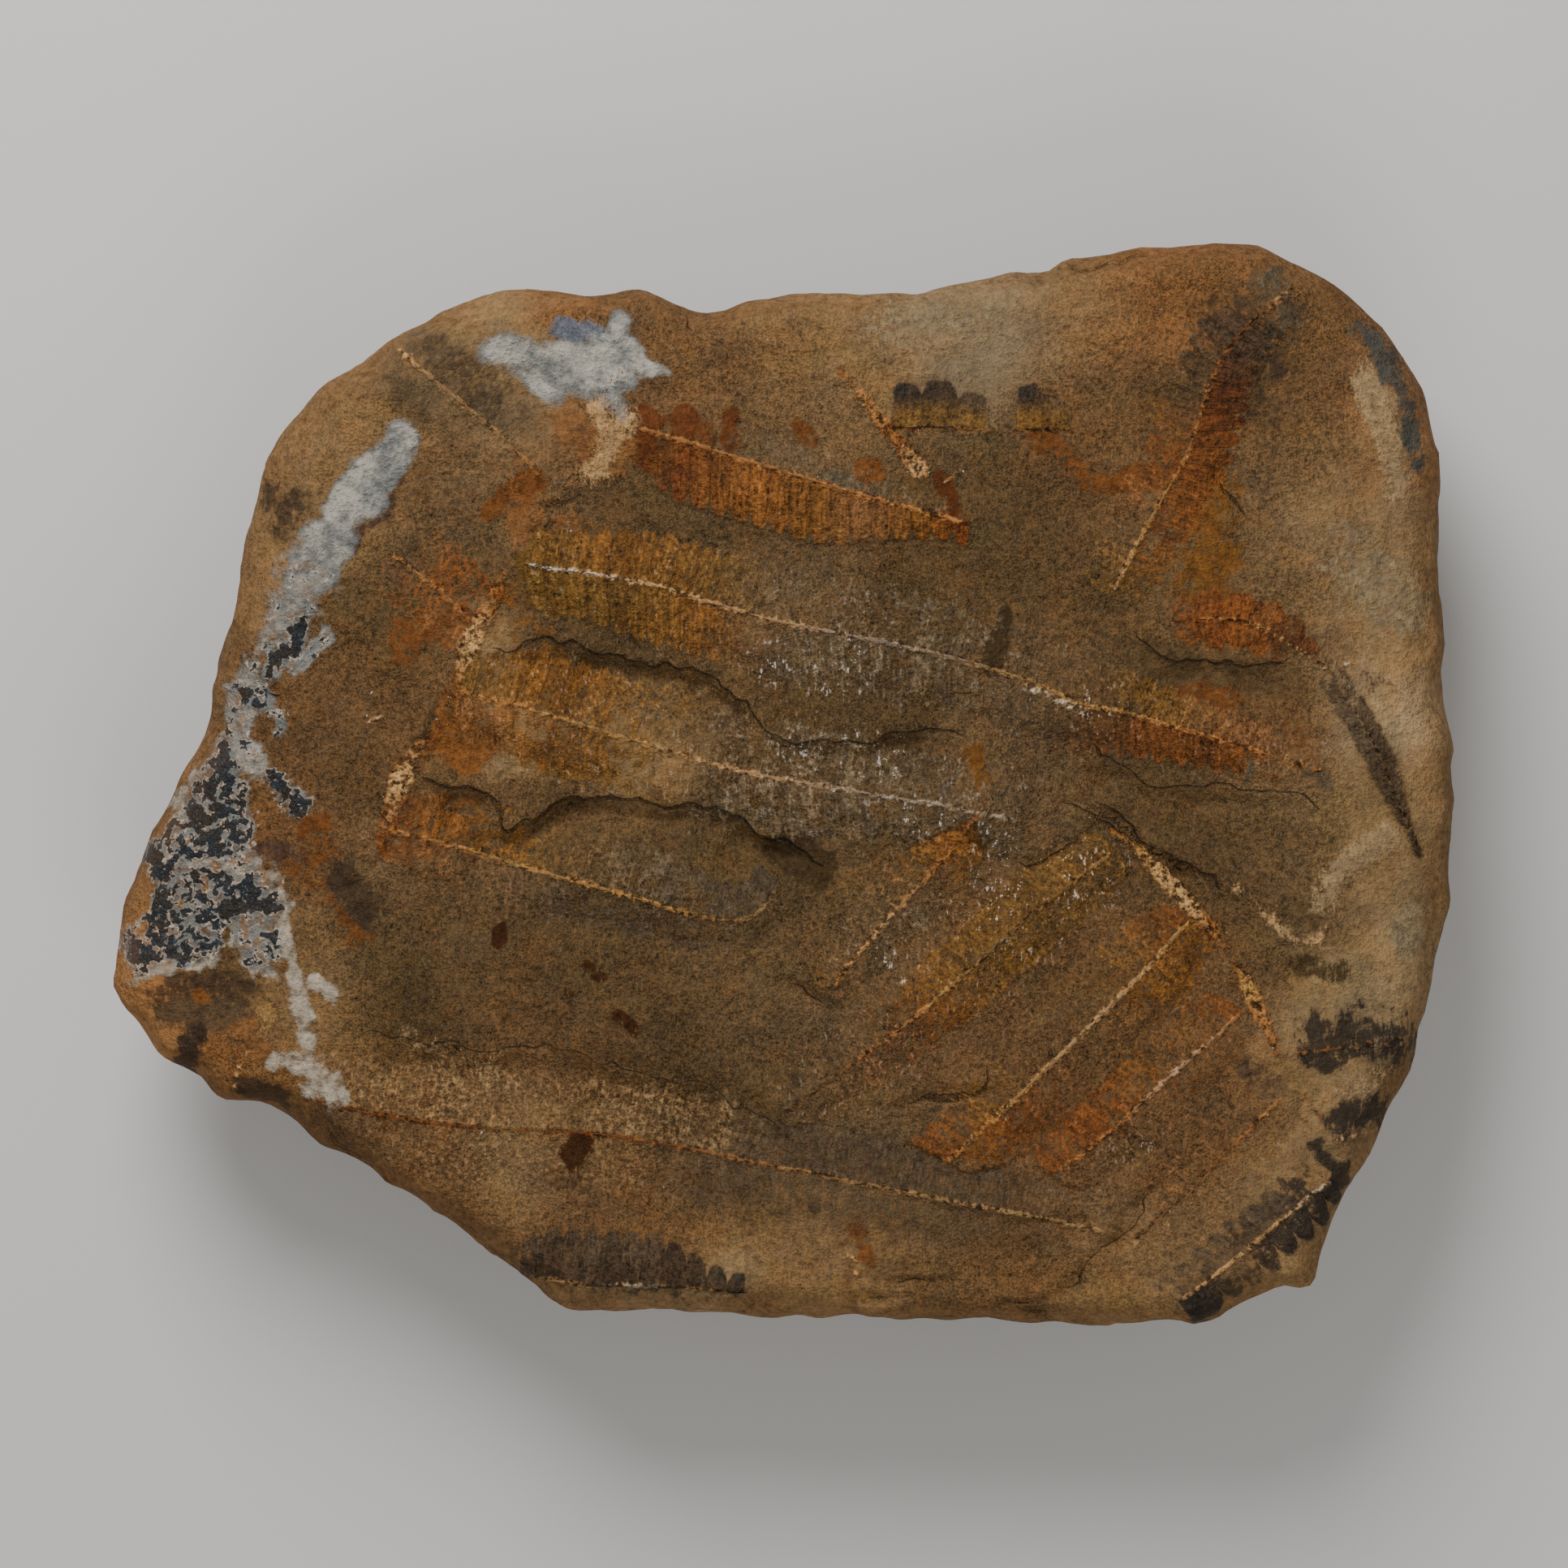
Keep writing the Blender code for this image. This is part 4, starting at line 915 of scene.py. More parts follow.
def stone_points(directions):
    """Carries the ball's directions to the stone's surface. Also says how weathered each point is, and how
    far it belongs to the upper side, from 0 to 1."""
    angle = np.arctan2(directions[:, 1], directions[:, 0])
    share = (1 - directions[:, 2]) / 2
    radius = outline_radius(angle)
    heading = np.column_stack([np.cos(angle), np.sin(angle)])
    roll_depth = rim_roll(angle)[1]

    out = np.sqrt(np.clip(share / FACE_SHARE, 0, 1))
    face_xy = heading * (out * radius)[:, None]
    face_z, into_roll = face_height(face_xy)

    edge_z = FACE_HEIGHT + face_relief(heading * radius[:, None]) - roll_depth
    down = np.clip((share - FACE_SHARE) / (1 - FACE_SHARE), 0, 1) * math.pi / 2
    corners_left = 1 - smoothstep(0, CORNER_FADE, down)
    round_radius = dome_radius(angle)
    smoothed = round_radius + (radius - round_radius) * corners_left
    swelling = lumps(directions * (STONE_HIGH[0] - STONE_LOW[0]) / MM / 4, *BACK_LUMPS) * np.sin(2 * down)
    back_xy = heading * (smoothed * np.cos(down) ** BACK_FULLNESS + swelling)[:, None]
    dome_top = edge_z * corners_left + (FACE_HEIGHT - MEAN_ROLL) * (1 - corners_left)
    back_z = dome_top - (dome_top + BACK_OVERSHOOT) * np.sin(down) ** BACK_STEEPNESS + swelling / 2

    on_face = share <= FACE_SHARE
    points = np.column_stack([np.where(on_face[:, None], face_xy, back_xy),
                              np.where(on_face, face_z, back_z)])
    weathered = np.where(on_face, rim_weathering(into_roll), 1.0)
    upper = 1 - smoothstep(0.02, 0.3, down)
    pitted = layered_noise(points, SKIN_GRAIN) * weathered
    outward = np.column_stack([heading * np.cos(down)[:, None], np.where(on_face, 0.6, -np.sin(down))])
    points = points + outward * pitted[:, None]
    points[:, 2] = np.maximum(points[:, 2], 0.0)
    return points, weathered, upper


@functools.cache
def stone_fit():
    """Shift and scale from the outline's own millimetres to the solid's box."""
    angle = np.linspace(-math.pi, math.pi, 2880, endpoint=False)
    edge = np.column_stack([np.cos(angle), np.sin(angle)]) * outline_radius(angle)[:, None]
    low, high = edge.min(axis=0), edge.max(axis=0)
    box_low, box_high = np.array(STONE_LOW)[:2] / MM, np.array(STONE_HIGH)[:2] / MM
    return (low + high) / 2, (box_high - box_low) / (high - low), (box_high + box_low) / 2


def to_metres(points):
    middle, scale, target = stone_fit()
    placed = points.copy()
    placed[:, :2] = (points[:, :2] - middle) * scale + target
    return placed * MM


def zone_tint(xy):
    """Colour of the bare rock: the zones' finishes, each fading into its neighbours."""
    warped = xy + np.column_stack([noise(xy, 3.0, 9.0, 41), noise(xy, 3.0, 9.0, 42)])
    least = 0.02
    tint = linear("brown") * least * np.ones((len(xy), 1))
    weight = np.full(len(xy), least)
    for x, y, radius, name in ZONES:
        pull = np.exp(-((warped[:, 0] - x) ** 2 + (warped[:, 1] - y) ** 2) / (0.8 * radius) ** 2)
        tint += pull[:, None] * linear(name)
        weight += pull
    return tint / weight[:, None]


def stain_tint(xy, wavy):
    """Colour and strength of the stains, with ragged edges, and of the folds' painted highlight and shade,
    with smooth ones.
    """
    tint = np.tile(linear("brown"), (len(xy), 1))
    strength = np.zeros(len(xy))
    marks = [(*stain, wavy) for stain in STAINS]
    marks += [(points, width, name, amount, 1.0, xy) for points, width, _, name, amount in FOLDS]
    for points, half_width, name, amount, softness, places in marks:
        line = smooth_line(points)
        rows = near(places, line, half_width * (1 + softness))
        distance = along_and_across(places[rows], line)[2]
        here = amount * (1 - smoothstep(1 - 0.85 * softness, 1 + 0.7 * softness, distance / half_width))
        stronger = here > strength[rows]
        tint[rows[stronger]] = linear(name)
        strength[rows] = np.maximum(strength[rows], here)
    return np.column_stack([tint, strength])


def thread_tint(xy):
    """Colour and closeness of thin mineral lines, midribs and axes: 1 on the line, 0 well away from it."""
    tint = np.tile(linear("cream"), (len(xy), 1))
    closeness = np.zeros(len(xy))
    lines = [(points, width, linears(name), (kept,)) for points, width, name, kept in THREADS]
    lines += [(pinna["line"], pinna["rib"], linears(pinna["tints"]), (1,)) for pinna in PINNAE.values()]
    lines += [(points, width, linears(names), kept) for points, width, _, names, kept in AXES.values()]
    for points, width, colours, kept in lines:
        line = smooth_line(points)
        rows = near(xy, line, width + 1.5)
        along, _, distance = along_and_across(xy[rows], line)
        share = along / line_length(line)
        left_over = spaced(kept, share)
        wide = width * (0.4 + 0.6 * left_over) + 0.6
        here = np.clip((wide - distance) / np.minimum(wide, 1.3), 0, 1) * (0.3 + 0.7 * left_over)
        stronger = here > closeness[rows]
        tint[rows[stronger]] = spaced(colours, share)[stronger]
        closeness[rows] = np.maximum(closeness[rows], here)
    return np.column_stack([tint, closeness])


def crack_lines(xy):
    """How many half widths away the nearest crack or ledge edge is, negative on its right, and how strong its
    painted shade is there.
    """
    # Each ledge's edge is drawn too, as a line of painted shadow that is wider the steeper the ledge is.
    edges = [(points, LEDGE_SHADE * height / width) for points, height, width, _ in LEDGES]
    across, crack_shade = np.full(len(xy), FAR_AWAY), np.zeros(len(xy))
    for points, half_width in CRACKS + edges:
        line = smooth_line(points)
        rows = near(xy, line, CRACK_REACH)
        along, side, distance = along_and_across(xy[rows], line)
        ends = smoothstep(0, CRACK_REACH, along) * smoothstep(0, CRACK_REACH, line_length(line) - along)
        nearer = distance < np.abs(across[rows]) * half_width
        across[rows[nearer]] = side[nearer] / half_width
        crack_shade[rows[nearer]] = (ends * (1 - smoothstep(1.2, CRACK_REACH, distance)))[nearer]
    return across, crack_shade


def blade_paint(xy):
    """The nearest pinna's colour and coordinates at each point."""
    count = len(xy)
    paint = {
        "blade_tint": np.column_stack([np.tile(linear("brown"), (count, 1)), np.zeros(count)]),
        "fern_place": np.zeros((count, 3)),
        "blade": np.column_stack([np.full(count, WELL_OUTSIDE), np.zeros((count, 2))]),
        "feather": np.zeros(count),
    }
    for pinna in PINNAE.values():
        rows, share, place, distance, left, inside, reach = pinna_fields(xy, pinna)
        better = inside > paint["blade"][rows, 0]
        rows, share, left = rows[better], share[better], left[better, None]
        tints, kept = [], []
        out = smoothstep(0.2, 0.75, (distance / reach)[better])[:, None]
        for side in ("left", "right"):
            tint = spaced(linears(pinna[side][1]), share)
            if "foot" in pinna:
                tint = tint * out + linear(pinna["foot"]) * (1 - out)
            tints.append(tint)
            kept.append(spaced(pinna[side][2], share))
        paint["blade_tint"][rows, :3] = np.where(left, *tints)
        paint["blade_tint"][rows, 3] = pinna["vein"]
        paint["feather"][rows] = pinna.get("feather", DEFAULT_FEATHER)
        paint["fern_place"][rows] = np.column_stack([place[better], (distance / reach)[better],
                                                     np.full(len(rows), pinna.get("cut", DEFAULT_CUT))])
        paint["blade"][rows] = np.column_stack([inside[better], np.where(left[:, 0], *kept),
                                                np.full(len(rows), pinna["glitter"])])
    return paint


def glitter_share(xy):
    """How far the clusters of bright flakes and painted glints reach at each point."""
    share = np.full(len(xy), GLITTER_FLOOR)
    for x, y, radius in GLINTS:
        share = np.maximum(share, 1.6 * np.exp(-((xy[:, 0] - x) ** 2 + (xy[:, 1] - y) ** 2) / radius**2))
    return share


def face_paint(points, weathered, upper=1.0):
    """Every value that the rock's material reads at a point of the surface. What lies in the broken face is
    painted only where the point belongs to the upper side."""
    xy = points[:, :2]
    wavy = wandered(xy)
    crust, soot = crust_inside(wavy)
    paint = blade_paint(xy)
    # The rock's own colour, with the painted light at the ledges' feet as alpha.
    paint["rock_tint"] = np.column_stack([zone_tint(xy), painted_ledge_light(xy) * upper])
    paint["stain"] = stain_tint(xy, wavy)
    paint["thread"] = thread_tint(xy)
    for name in ("stain", "thread"):
        paint[name][:, 3] *= upper
    paint["blade"][:, 1] *= upper
    paint["blade"][:, 2] *= glitter_share(xy) * upper
    paint["crack"], crack_shade = crack_lines(wandered(xy, LEDGE_WANDER))
    on_rim = upper**CRUST_FADE
    # The third part is the strength of the painted shade in cracks and along ledge edges.
    paint["crust"] = np.column_stack([crust * on_rim, soot * on_rim, crack_shade * upper])
    paint["weathered"] = np.broadcast_to(weathered, len(xy)).astype(float)
    for name, sizes in CLOUDS.items():
        paint[name] = np.column_stack([clouds(points, size, seed) for size, seed in sizes])
    return paint


def store(mesh, name, values):
    """Stores one value, vector or colour for each vertex."""
    kinds = {0: ("FLOAT", "value"), 3: ("FLOAT_VECTOR", "vector"), 4: ("FLOAT_COLOR", "color")}
    kind, field = kinds[values.shape[1] if values.ndim > 1 else 0]
    mesh.attributes.new(name, kind, "POINT").data.foreach_set(field, values.astype(np.float32).ravel())


def mesh_points(mesh):
    points = np.empty(len(mesh.vertices) * 3, np.float32)
    mesh.vertices.foreach_get("co", points)
    return points.reshape(-1, 3).astype(float)


def set_points(mesh, points):
    mesh.vertices.foreach_set("co", points.astype(np.float32).ravel())
    mesh.update()


def lay_on_stone(mesh, sink=0.0):
    """Lifts a flat mesh onto the stone's face and paints it. Its own heights count from the face. What would
    stick out past the rim is drawn back and hidden inside the stone."""
    points = mesh_points(mesh)
    out = np.linalg.norm(points[:, :2], axis=1) / outline_radius(np.arctan2(points[:, 1], points[:, 0]))
    points[:, :2] *= np.minimum(1, RIM_LIMIT / np.maximum(out, 0.01))[:, None]
    points[:, 2] -= RIM_SINK * smoothstep(RIM_LIMIT, RIM_LIMIT + 0.01, out)
    height, into_roll = face_height(points[:, :2])
    for name, values in face_paint(points, rim_weathering(into_roll)).items():
        store(mesh, name, values)
    points[:, 2] += height - sink
    set_points(mesh, to_metres(points))


def show_piece(mesh, name, material):
    """Puts a finished mesh into the scene as a piece of the object."""
    mesh.name = name
    mesh.materials.clear()
    mesh.materials.append(material)
    mesh.shade_smooth()
    piece = bpy.data.objects.new(name, mesh)
    bpy.context.scene.collection.objects.link(piece)
    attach(piece, BODY)
    return piece


class Value:
    """A shader socket that takes part in Python arithmetic."""

    def __init__(self, graph, socket):
        self.graph = graph
        self.socket = socket

    def math(self, operation, *others):
        sockets = dict(enumerate((self, *others)))
        return self.graph.node("ShaderNodeMath", {"operation": operation}, sockets)[0]

    def __add__(self, other):
        return self.math("ADD", other)

    __radd__ = __add__

    def __mul__(self, other):
        return self.math("MULTIPLY", other)

    __rmul__ = __mul__

    def __sub__(self, other):
        return self.math("SUBTRACT", other)

    def __rsub__(self, other):
        return (self * -1.0) + other

    def __pow__(self, power):
        return self.math("POWER", power)

    def between(self, low, high):
        """0 below low, 1 above high, smooth between them."""
        settings = {"interpolation_type": "SMOOTHSTEP"}
        return self.graph.node("ShaderNodeMapRange", settings, {0: self, 1: low, 2: high})[0]


class Graph:
    """A material's node tree, built from expressions."""

    def __init__(self, name):
        self.material = bpy.data.materials.new(name)
        self.material.use_nodes = True
        self.tree = self.material.node_tree
        self.shader = self.tree.nodes["Principled BSDF"]
        self.place = self.node("ShaderNodeTexCoord")["Object"]

    def node(self, kind, settings=None, sockets=None):
        """Adds a node, sets it up, feeds its sockets, and returns its outputs by name and by number."""
        node = self.tree.nodes.new(kind)
        for name, value in (settings or {}).items():
            setattr(node, name, value)
        for key, value in (sockets or {}).items():
            self.feed(self.find(node.inputs, key), value)
        outputs = {socket.identifier: Value(self, socket) for socket in node.outputs}
        return outputs | {number: Value(self, socket) for number, socket in enumerate(node.outputs)}

    def find(self, sockets, key):
        if isinstance(key, int):
            return sockets[key]
        return next(socket for socket in sockets if socket.identifier == key)

    def feed(self, socket, value):
        if isinstance(value, Value):
            self.tree.links.new(value.socket, socket)
        else:
            socket.default_value = value

    def set(self, **sockets):
        """Feeds the Principled shader: Base_Color=..., Roughness=..."""
        for name, value in sockets.items():
            self.feed(self.shader.inputs[name.replace("_", " ")], value)

    def read(self, name):
        """An attribute of the mesh: its colour, vector, value and alpha."""
        return self.node("ShaderNodeAttribute", {"attribute_name": name})

    def parts(self, vector):
        return self.node("ShaderNodeSeparateXYZ", None, {0: vector})

    def joined(self, x, y, z):
        return self.node("ShaderNodeCombineXYZ", None, {0: x, 1: y, 2: z})[0]

    def vector_math(self, operation, sockets):
        return self.node("ShaderNodeVectorMath", {"operation": operation}, sockets)[0]

    def grain(self, size, detail=2.0, shift=0.0, place=None):
        """Noise of a cell size in millimetres, from 0 to 1."""
        place = place or self.place
        if shift:
            place = self.vector_math("ADD", {0: place, 1: (shift,) * 3})
        sockets = {"Vector": place, "Scale": 1 / (size * MM), "Detail": detail}
        return self.node("ShaderNodeTexNoise", None, sockets)[0]

    def cells(self, size, place):
        """Irregular cells of a size in millimetres, seen from above."""
        sockets = {"Vector": place, "Scale": 1 / (size * MM)}
        return self.node("ShaderNodeTexVoronoi", {"voronoi_dimensions": "2D"}, sockets)

    def pushed(self, place, push, amount):
        """The place moved along a vector of parts from 0 to 1, times an amount in millimetres."""
        return self.vector_math("MULTIPLY_ADD", {0: push, 1: (amount * MM,) * 3, 2: place})

    def mix(self, share, first, second):
        sockets = {"Factor_Float": share, "A_Color": first, "B_Color": second}
        return self.node("ShaderNodeMix", {"data_type": "RGBA"}, sockets)["Result_Color"]

    def scaled(self, colour, amount):
        return self.vector_math("SCALE", {0: colour, "Scale": amount})

    def tinted(self, colour, tint):
        return self.vector_math("MULTIPLY", {0: colour, 1: tint})

    def blotched(self, colour, field, low, high, share, tint):
        """The colour, tinted by the share where a field from 0 to 1 rises from low to high."""
        return self.mix(field.between(low, high) * share, colour, self.tinted(colour, tint))

    def bump(self, height, depth, strength=1.0):
        sockets = {"Height": height, "Distance": depth * MM, "Strength": strength}
        return self.node("ShaderNodeBump", None, sockets)[0]


def colour(name):
    return (*linear(name), 1.0)


def rock_material():
    """The ironstone with everything that lies flat in its face: stains, blades, veins, crust and film, with
    painted light and shade at the ledges, cracks, folds, blade edges, pinnule seams and glints.
    """
    g = Graph("ironstone_face")
    fine, mottle, medium = g.grain(0.26, 1), g.grain(0.6, 1, 0.3), g.grain(1.2, 2, 0.1)
    strokes = g.grain(0.34, 1, 0.35, g.tinted(g.place, (1.0, 0.28, 1.0)))
    crumbs = g.grain(1.5, 3, 0.7)
    slow = g.parts(g.read("clouds")["Vector"])
    patch = g.parts(g.read("patches")["Vector"])
    specks = fine * 0.45 + strokes * 0.55

    rock = g.read("rock_tint")
    painted_foot_light, bare = rock["Alpha"], rock["Color"]
    busy = 1.0 - g.parts(bare)[1].between(0.06, 0.15)
    grains = fine * 1.7 + mottle * 0.8 + strokes * 1.1 - 1.8
    rock = g.scaled(bare, grains * (busy * 1.1 + 0.6) + medium * 0.8 + slow[0] * 0.5 + 0.35)
    rock = g.blotched(rock, slow[1], 0.46, 0.68, 0.4, (1.12, 0.95, 0.78))
    rock = g.blotched(rock, slow[2], 0.44, 0.66, 0.7, (0.78, 0.82, 0.92))
    rock = g.blotched(rock, patch[0], 0.5, 0.7, 0.5, (0.96, 1.02, 0.9))
    rock = g.blotched(rock, mottle, 0.52, 0.66, 0.4, (1.12, 1.0, 0.92))
    rock = g.mix(specks.between(0.55, 0.68) * (busy * 0.05 + 0.25), rock, colour("shade"))
    rock = g.mix((1.0 - specks).between(0.56, 0.66) * (busy * 0.12 + 0.27), rock, colour("pale"))

    # Stains, painted shade in hollows, and the folds' painted highlight and shade.
    stain = g.read("stain")
    stained = stain["Alpha"] * 1.35 + (crumbs - 0.5) * 2.0 + (strokes - 0.5) * 1.2 + (patch[0] - 0.5) * 1.1
    stained = stained + (fine - 0.5) * 0.8 - 0.32
    stained = stained.between(0.08, 0.7) * stain["Alpha"].between(0, 0.35)
    stain_tint = g.scaled(stain["Color"], fine * 0.6 + mottle * 0.9 + medium * 1.1 + strokes * 0.5 - 0.55)
    stain_tint = g.blotched(stain_tint, patch[1], 0.48, 0.66, 0.45, (0.6, 0.62, 0.8))
    rock = g.mix(stained * 0.88, rock, stain_tint)

    blade = g.parts(g.read("blade")["Vector"])
    fern = g.parts(g.read("fern_place")["Vector"])
    tint = g.read("blade_tint")
    feather = g.read("feather")["Fac"]
    streaks = g.grain(1.0, 2, 1.0, g.joined(fern[0] * 0.006, fern[1] * 0.0014, 0.0))
    from_middle = (fern[0].math("FRACT") * 2.0 - 1.0).math("ABSOLUTE")
    margin = blade[0] - from_middle ** 3.0 * fern[2] + (streaks - 0.5) * feather * 1.6
    margin = margin + (crumbs - 0.5) * (feather + 0.8)
    dusty = feather.between(0.9, 1.4)
    patchy = (crumbs - 0.5) * 1.8 + (patch[0] - 0.5) * 0.9 + (streaks - 0.5) * 1.1 + (fine - 0.5) * feather
    kept = blade[1] * 1.35 + patchy * (1.0 - dusty * 0.5) + (mottle - 0.5) * (0.5 + feather * 0.8) - 0.32
    margin = margin.math("DIVIDE", feather * 1.4 + 0.6)
    leaf = margin.between(-0.2 - dusty * 0.5, 0.3 + dusty * 0.4)
    leaf = leaf * kept.between(0.06 - dusty * 0.3, 0.54 + dusty * 0.3)
    leaf = leaf * (1.0 - stain["Alpha"].between(1.05, 1.3))
    leaf_mottle = fine * 1.7 + streaks * 1.5 + mottle * 1.7 + strokes + medium * 0.9 - 2.4
    # The leaf darkens towards the sides of each pinnule: painted shade in the seams between pinnules.
    leaf_tint = g.scaled(tint["Color"], leaf_mottle * (1.0 - from_middle.between(0.78, 1.0) * 0.24))
    number = fern[0].math("FLOOR")
    each = g.node("ShaderNodeTexWhiteNoise", {"noise_dimensions": "1D"}, {"W": number})["Value"]
    leaf_tint = g.scaled(leaf_tint, 0.82 + each * 0.36)
    leaf_tint = g.blotched(leaf_tint, patch[2], 0.48, 0.66, 0.6, (0.62, 0.62, 0.7))
    leaf_tint = g.blotched(leaf_tint, slow[1], 0.5, 0.7, 0.4, (1.3, 1.15, 1.0))
    on_vein = (1.0 - from_middle.between(0.02, 0.15)) * (1.0 - fern[1].between(0.75, 0.95))
    on_vein = on_vein * medium.between(0.42, 0.6)
    leaf_tint = g.mix(on_vein * tint["Alpha"] * 0.6, leaf_tint, g.tinted(leaf_tint, (2.1, 2.2, 2.6)))
    leaf_tint = g.mix(on_vein * tint["Alpha"] * -1.0, leaf_tint, colour("rust"))
    rock = g.mix(leaf * 0.9, rock, leaf_tint)
    # Painted shade: a dark rim on the rock just outside the margin of a well kept blade, as if cast by its
    # edge.
    outline = margin.between(-1.0, -0.1) * (1.0 - margin.between(-0.1, 0.3)) * blade[1].between(0.6, 1.0)
    rock = g.mix(outline * 0.25, rock, colour("shade"))
    # Painted glints: specks on glittering blades painted near white, brighter than any mineral here, for
    # light caught by flakes.
    glint = (strokes * 0.65 + mottle * 0.35 + (fine - 0.5) * 0.3).between(0.57, 0.66)
    glint = glint * crumbs.between(0.48, 0.6) * blade[2] * margin.between(-2.0, 0.3)
    rock = g.mix(glint.math("MINIMUM", 0.6), rock, colour("glint"))

    thread = g.read("thread")
    threaded = (thread["Alpha"] + (crumbs - 0.5) * 1.1 + (mottle - 0.5) * 0.5).between(0.45, 0.85)
    thread_shade = (mottle * 0.5 + medium * 0.5).between(0.4, 0.56) * 1.2 + fine * 0.6 - 0.15
    thread_edge = g.tinted(thread["Color"], (0.62, 0.45, 0.32))
    thread_middle = g.tinted(thread["Color"], (1.2, 1.16, 1.05))
    in_thread = (thread["Alpha"] + (mottle - 0.5) * 0.8).between(0.5, 1.0)
    thread_tone = g.mix(in_thread, thread_edge, thread_middle)
    rock = g.mix(threaded * 0.85, rock, g.scaled(thread_tone, thread_shade))

    crust = g.parts(g.read("crust")["Vector"])
    spot = g.parts(g.place)
    south = spot[1].between(15 * MM, -10 * MM)
    ragged = crust[0] + (crumbs - 0.5) * (south * 1.2 + 1.1) + (medium - 0.5) * 0.4 + (patch[2] - 0.5) * 0.9
    crusted = ragged.between(0.16, 0.86) * crust[0].between(0.0, 0.25)
    clay = g.mix((ragged - (slow[1] - 0.5) * 1.8).between(0.5, 1.4), colour("blue_clay"), colour("white"))
    clay = g.mix(south * 0.7, clay, colour("warm_white"))
    pinkish = g.mix(medium.between(0.42, 0.58), colour("blue_clay"), colour("pink_clay"))
    clay = g.mix(crust[1].between(0.1, 0.5) * 0.85, clay, pinkish)
    cover = crusted * (0.86 - crust[1] * medium.between(0.42, 0.58) * 0.6)
    clay_shade = mottle * 0.6 + medium * 0.4 + fine * 0.6 + (crumbs - 0.5) * south * 1.3 + 0.14
    rock = g.mix(cover, rock, g.scaled(clay, clay_shade))
    jagged = g.pushed(g.place, g.joined(crumbs, medium, mottle), 1.8)
    plates, chips = (g.parts(g.cells(size, jagged)["Color"]) for size in (2.2, 0.8))
    film_level = crust[1] * 0.82 - 0.66 + (crumbs - 0.5) * 2.2 + (medium - 0.5) + (mottle - 0.5) * 0.7
    film_level = film_level + (plates[0] - 0.5) * 0.4 + (chips[0] - 0.5) * 0.5
    on_film = crust[1].between(0.03, 0.15)
    film = film_level.between(-0.03, 0.05) * on_film
    film_rim = film_level.between(-0.26, -0.1) * (1.0 - film_level.between(-0.05, 0.0)) * on_film
    film_rim = film_rim * medium.between(0.42, 0.56)
    rock = g.mix(film_rim * 0.85, rock, g.scaled(colour("white")[:3], mottle + 0.45))
    film_tint = g.mix(plates[1].between(0.3, 0.7), colour("soot"), colour("ink"))
    film_tint = g.mix((strokes * 0.5 + fine * 0.5).between(0.54, 0.66) * 0.6, film_tint, colour("steel"))
    rock = g.mix(film * 0.93, rock, g.scaled(film_tint, fine * 1.2 + mottle * 0.8))
    # Painted shade in cracks and along ledge edges, which also dents the bump.
    crack_shade_mask = crust[2] * 1.4 - g.read("crack")["Fac"].math("ABSOLUTE") + (mottle - 0.5) * 2.0 - 0.5
    crack_shade_mask = crack_shade_mask.between(0.0, 0.7)
    rock = g.mix(crack_shade_mask * 0.65, rock, g.scaled(rock, 0.25))
    # Painted light at the foot of each ledge: it mostly lightens the rock in the wall's shadow, and darkens
    # it a little where the noise is low.
    rock = g.scaled(rock, 1.0 + painted_foot_light * (medium * 0.6 - 0.1))

    skin_place = g.parts(g.read("skin")["Vector"])
    skin = g.mix(skin_place[0].between(0.35, 0.7), colour("skin"), colour("skin_pale"))
    skin = g.mix(skin_place[1].between(0.42, 0.78) * 0.6, skin, colour("skin_dark"))
    skin = g.mix(0.55, skin, bare)
    skin = g.scaled(skin, fine * 0.8 + mottle * 1.1 + strokes * 0.3 + medium * 1.1 + slow[0] * 0.5 - 0.85)
    weathered = (g.read("weathered")["Fac"] + (skin_place[2] - 0.5) * 0.9).between(0.35, 1.0)
    weathered = weathered * (1.0 - crusted * 0.85) * (1.0 - leaf) * (1.0 - stained * 0.9)
    rock = g.mix(weathered, rock, skin)

    g.set(Base_Color=rock, Specular_IOR_Level=0.12)
    g.set(Roughness=0.85 - leaf * 0.2 - film * 0.35 - glint * 0.3 + (fine - 0.5) * 0.2)
    on_blade = blade[1] * blade[0].between(-0.3, 0.3)
    relief = fine * 0.5 + mottle * 0.7 + medium * 0.7 + streaks * on_blade * 0.7
    relief = relief + thread["Alpha"] * mottle + crust[0] * medium * 0.4 - crack_shade_mask * 1.2
    g.set(Normal=g.bump(relief, 0.45, 0.9))
    return g.material


def rib_material():
    """The pale gritty mineral in the midribs."""
    g = Graph("rib_mineral")
    fine, medium = g.grain(0.25, 3), g.grain(0.9, 3, 0.1)
    rib = g.scaled(g.read("thread")["Color"], fine * 1.2 + medium * 0.9 - 0.25)
    rib = g.mix(g.grain(0.5, 2, 0.5).between(0.56, 0.68) * 0.6, rib, g.scaled(rib, 1.5))
    rib = g.mix(g.grain(1.1, 3, 0.2).between(0.45, 0.62) * 0.55, rib, colour("ochre"))
    rib = g.mix(g.grain(0.5, 2, 0.3).between(0.52, 0.66) * 0.75, rib, colour("shade"))
    g.set(Base_Color=rib, Roughness=0.6 + fine * 0.3, Specular_IOR_Level=0.2)
    g.set(Normal=g.bump(fine * 0.5 + medium * 0.5, 0.2))
    return g.material


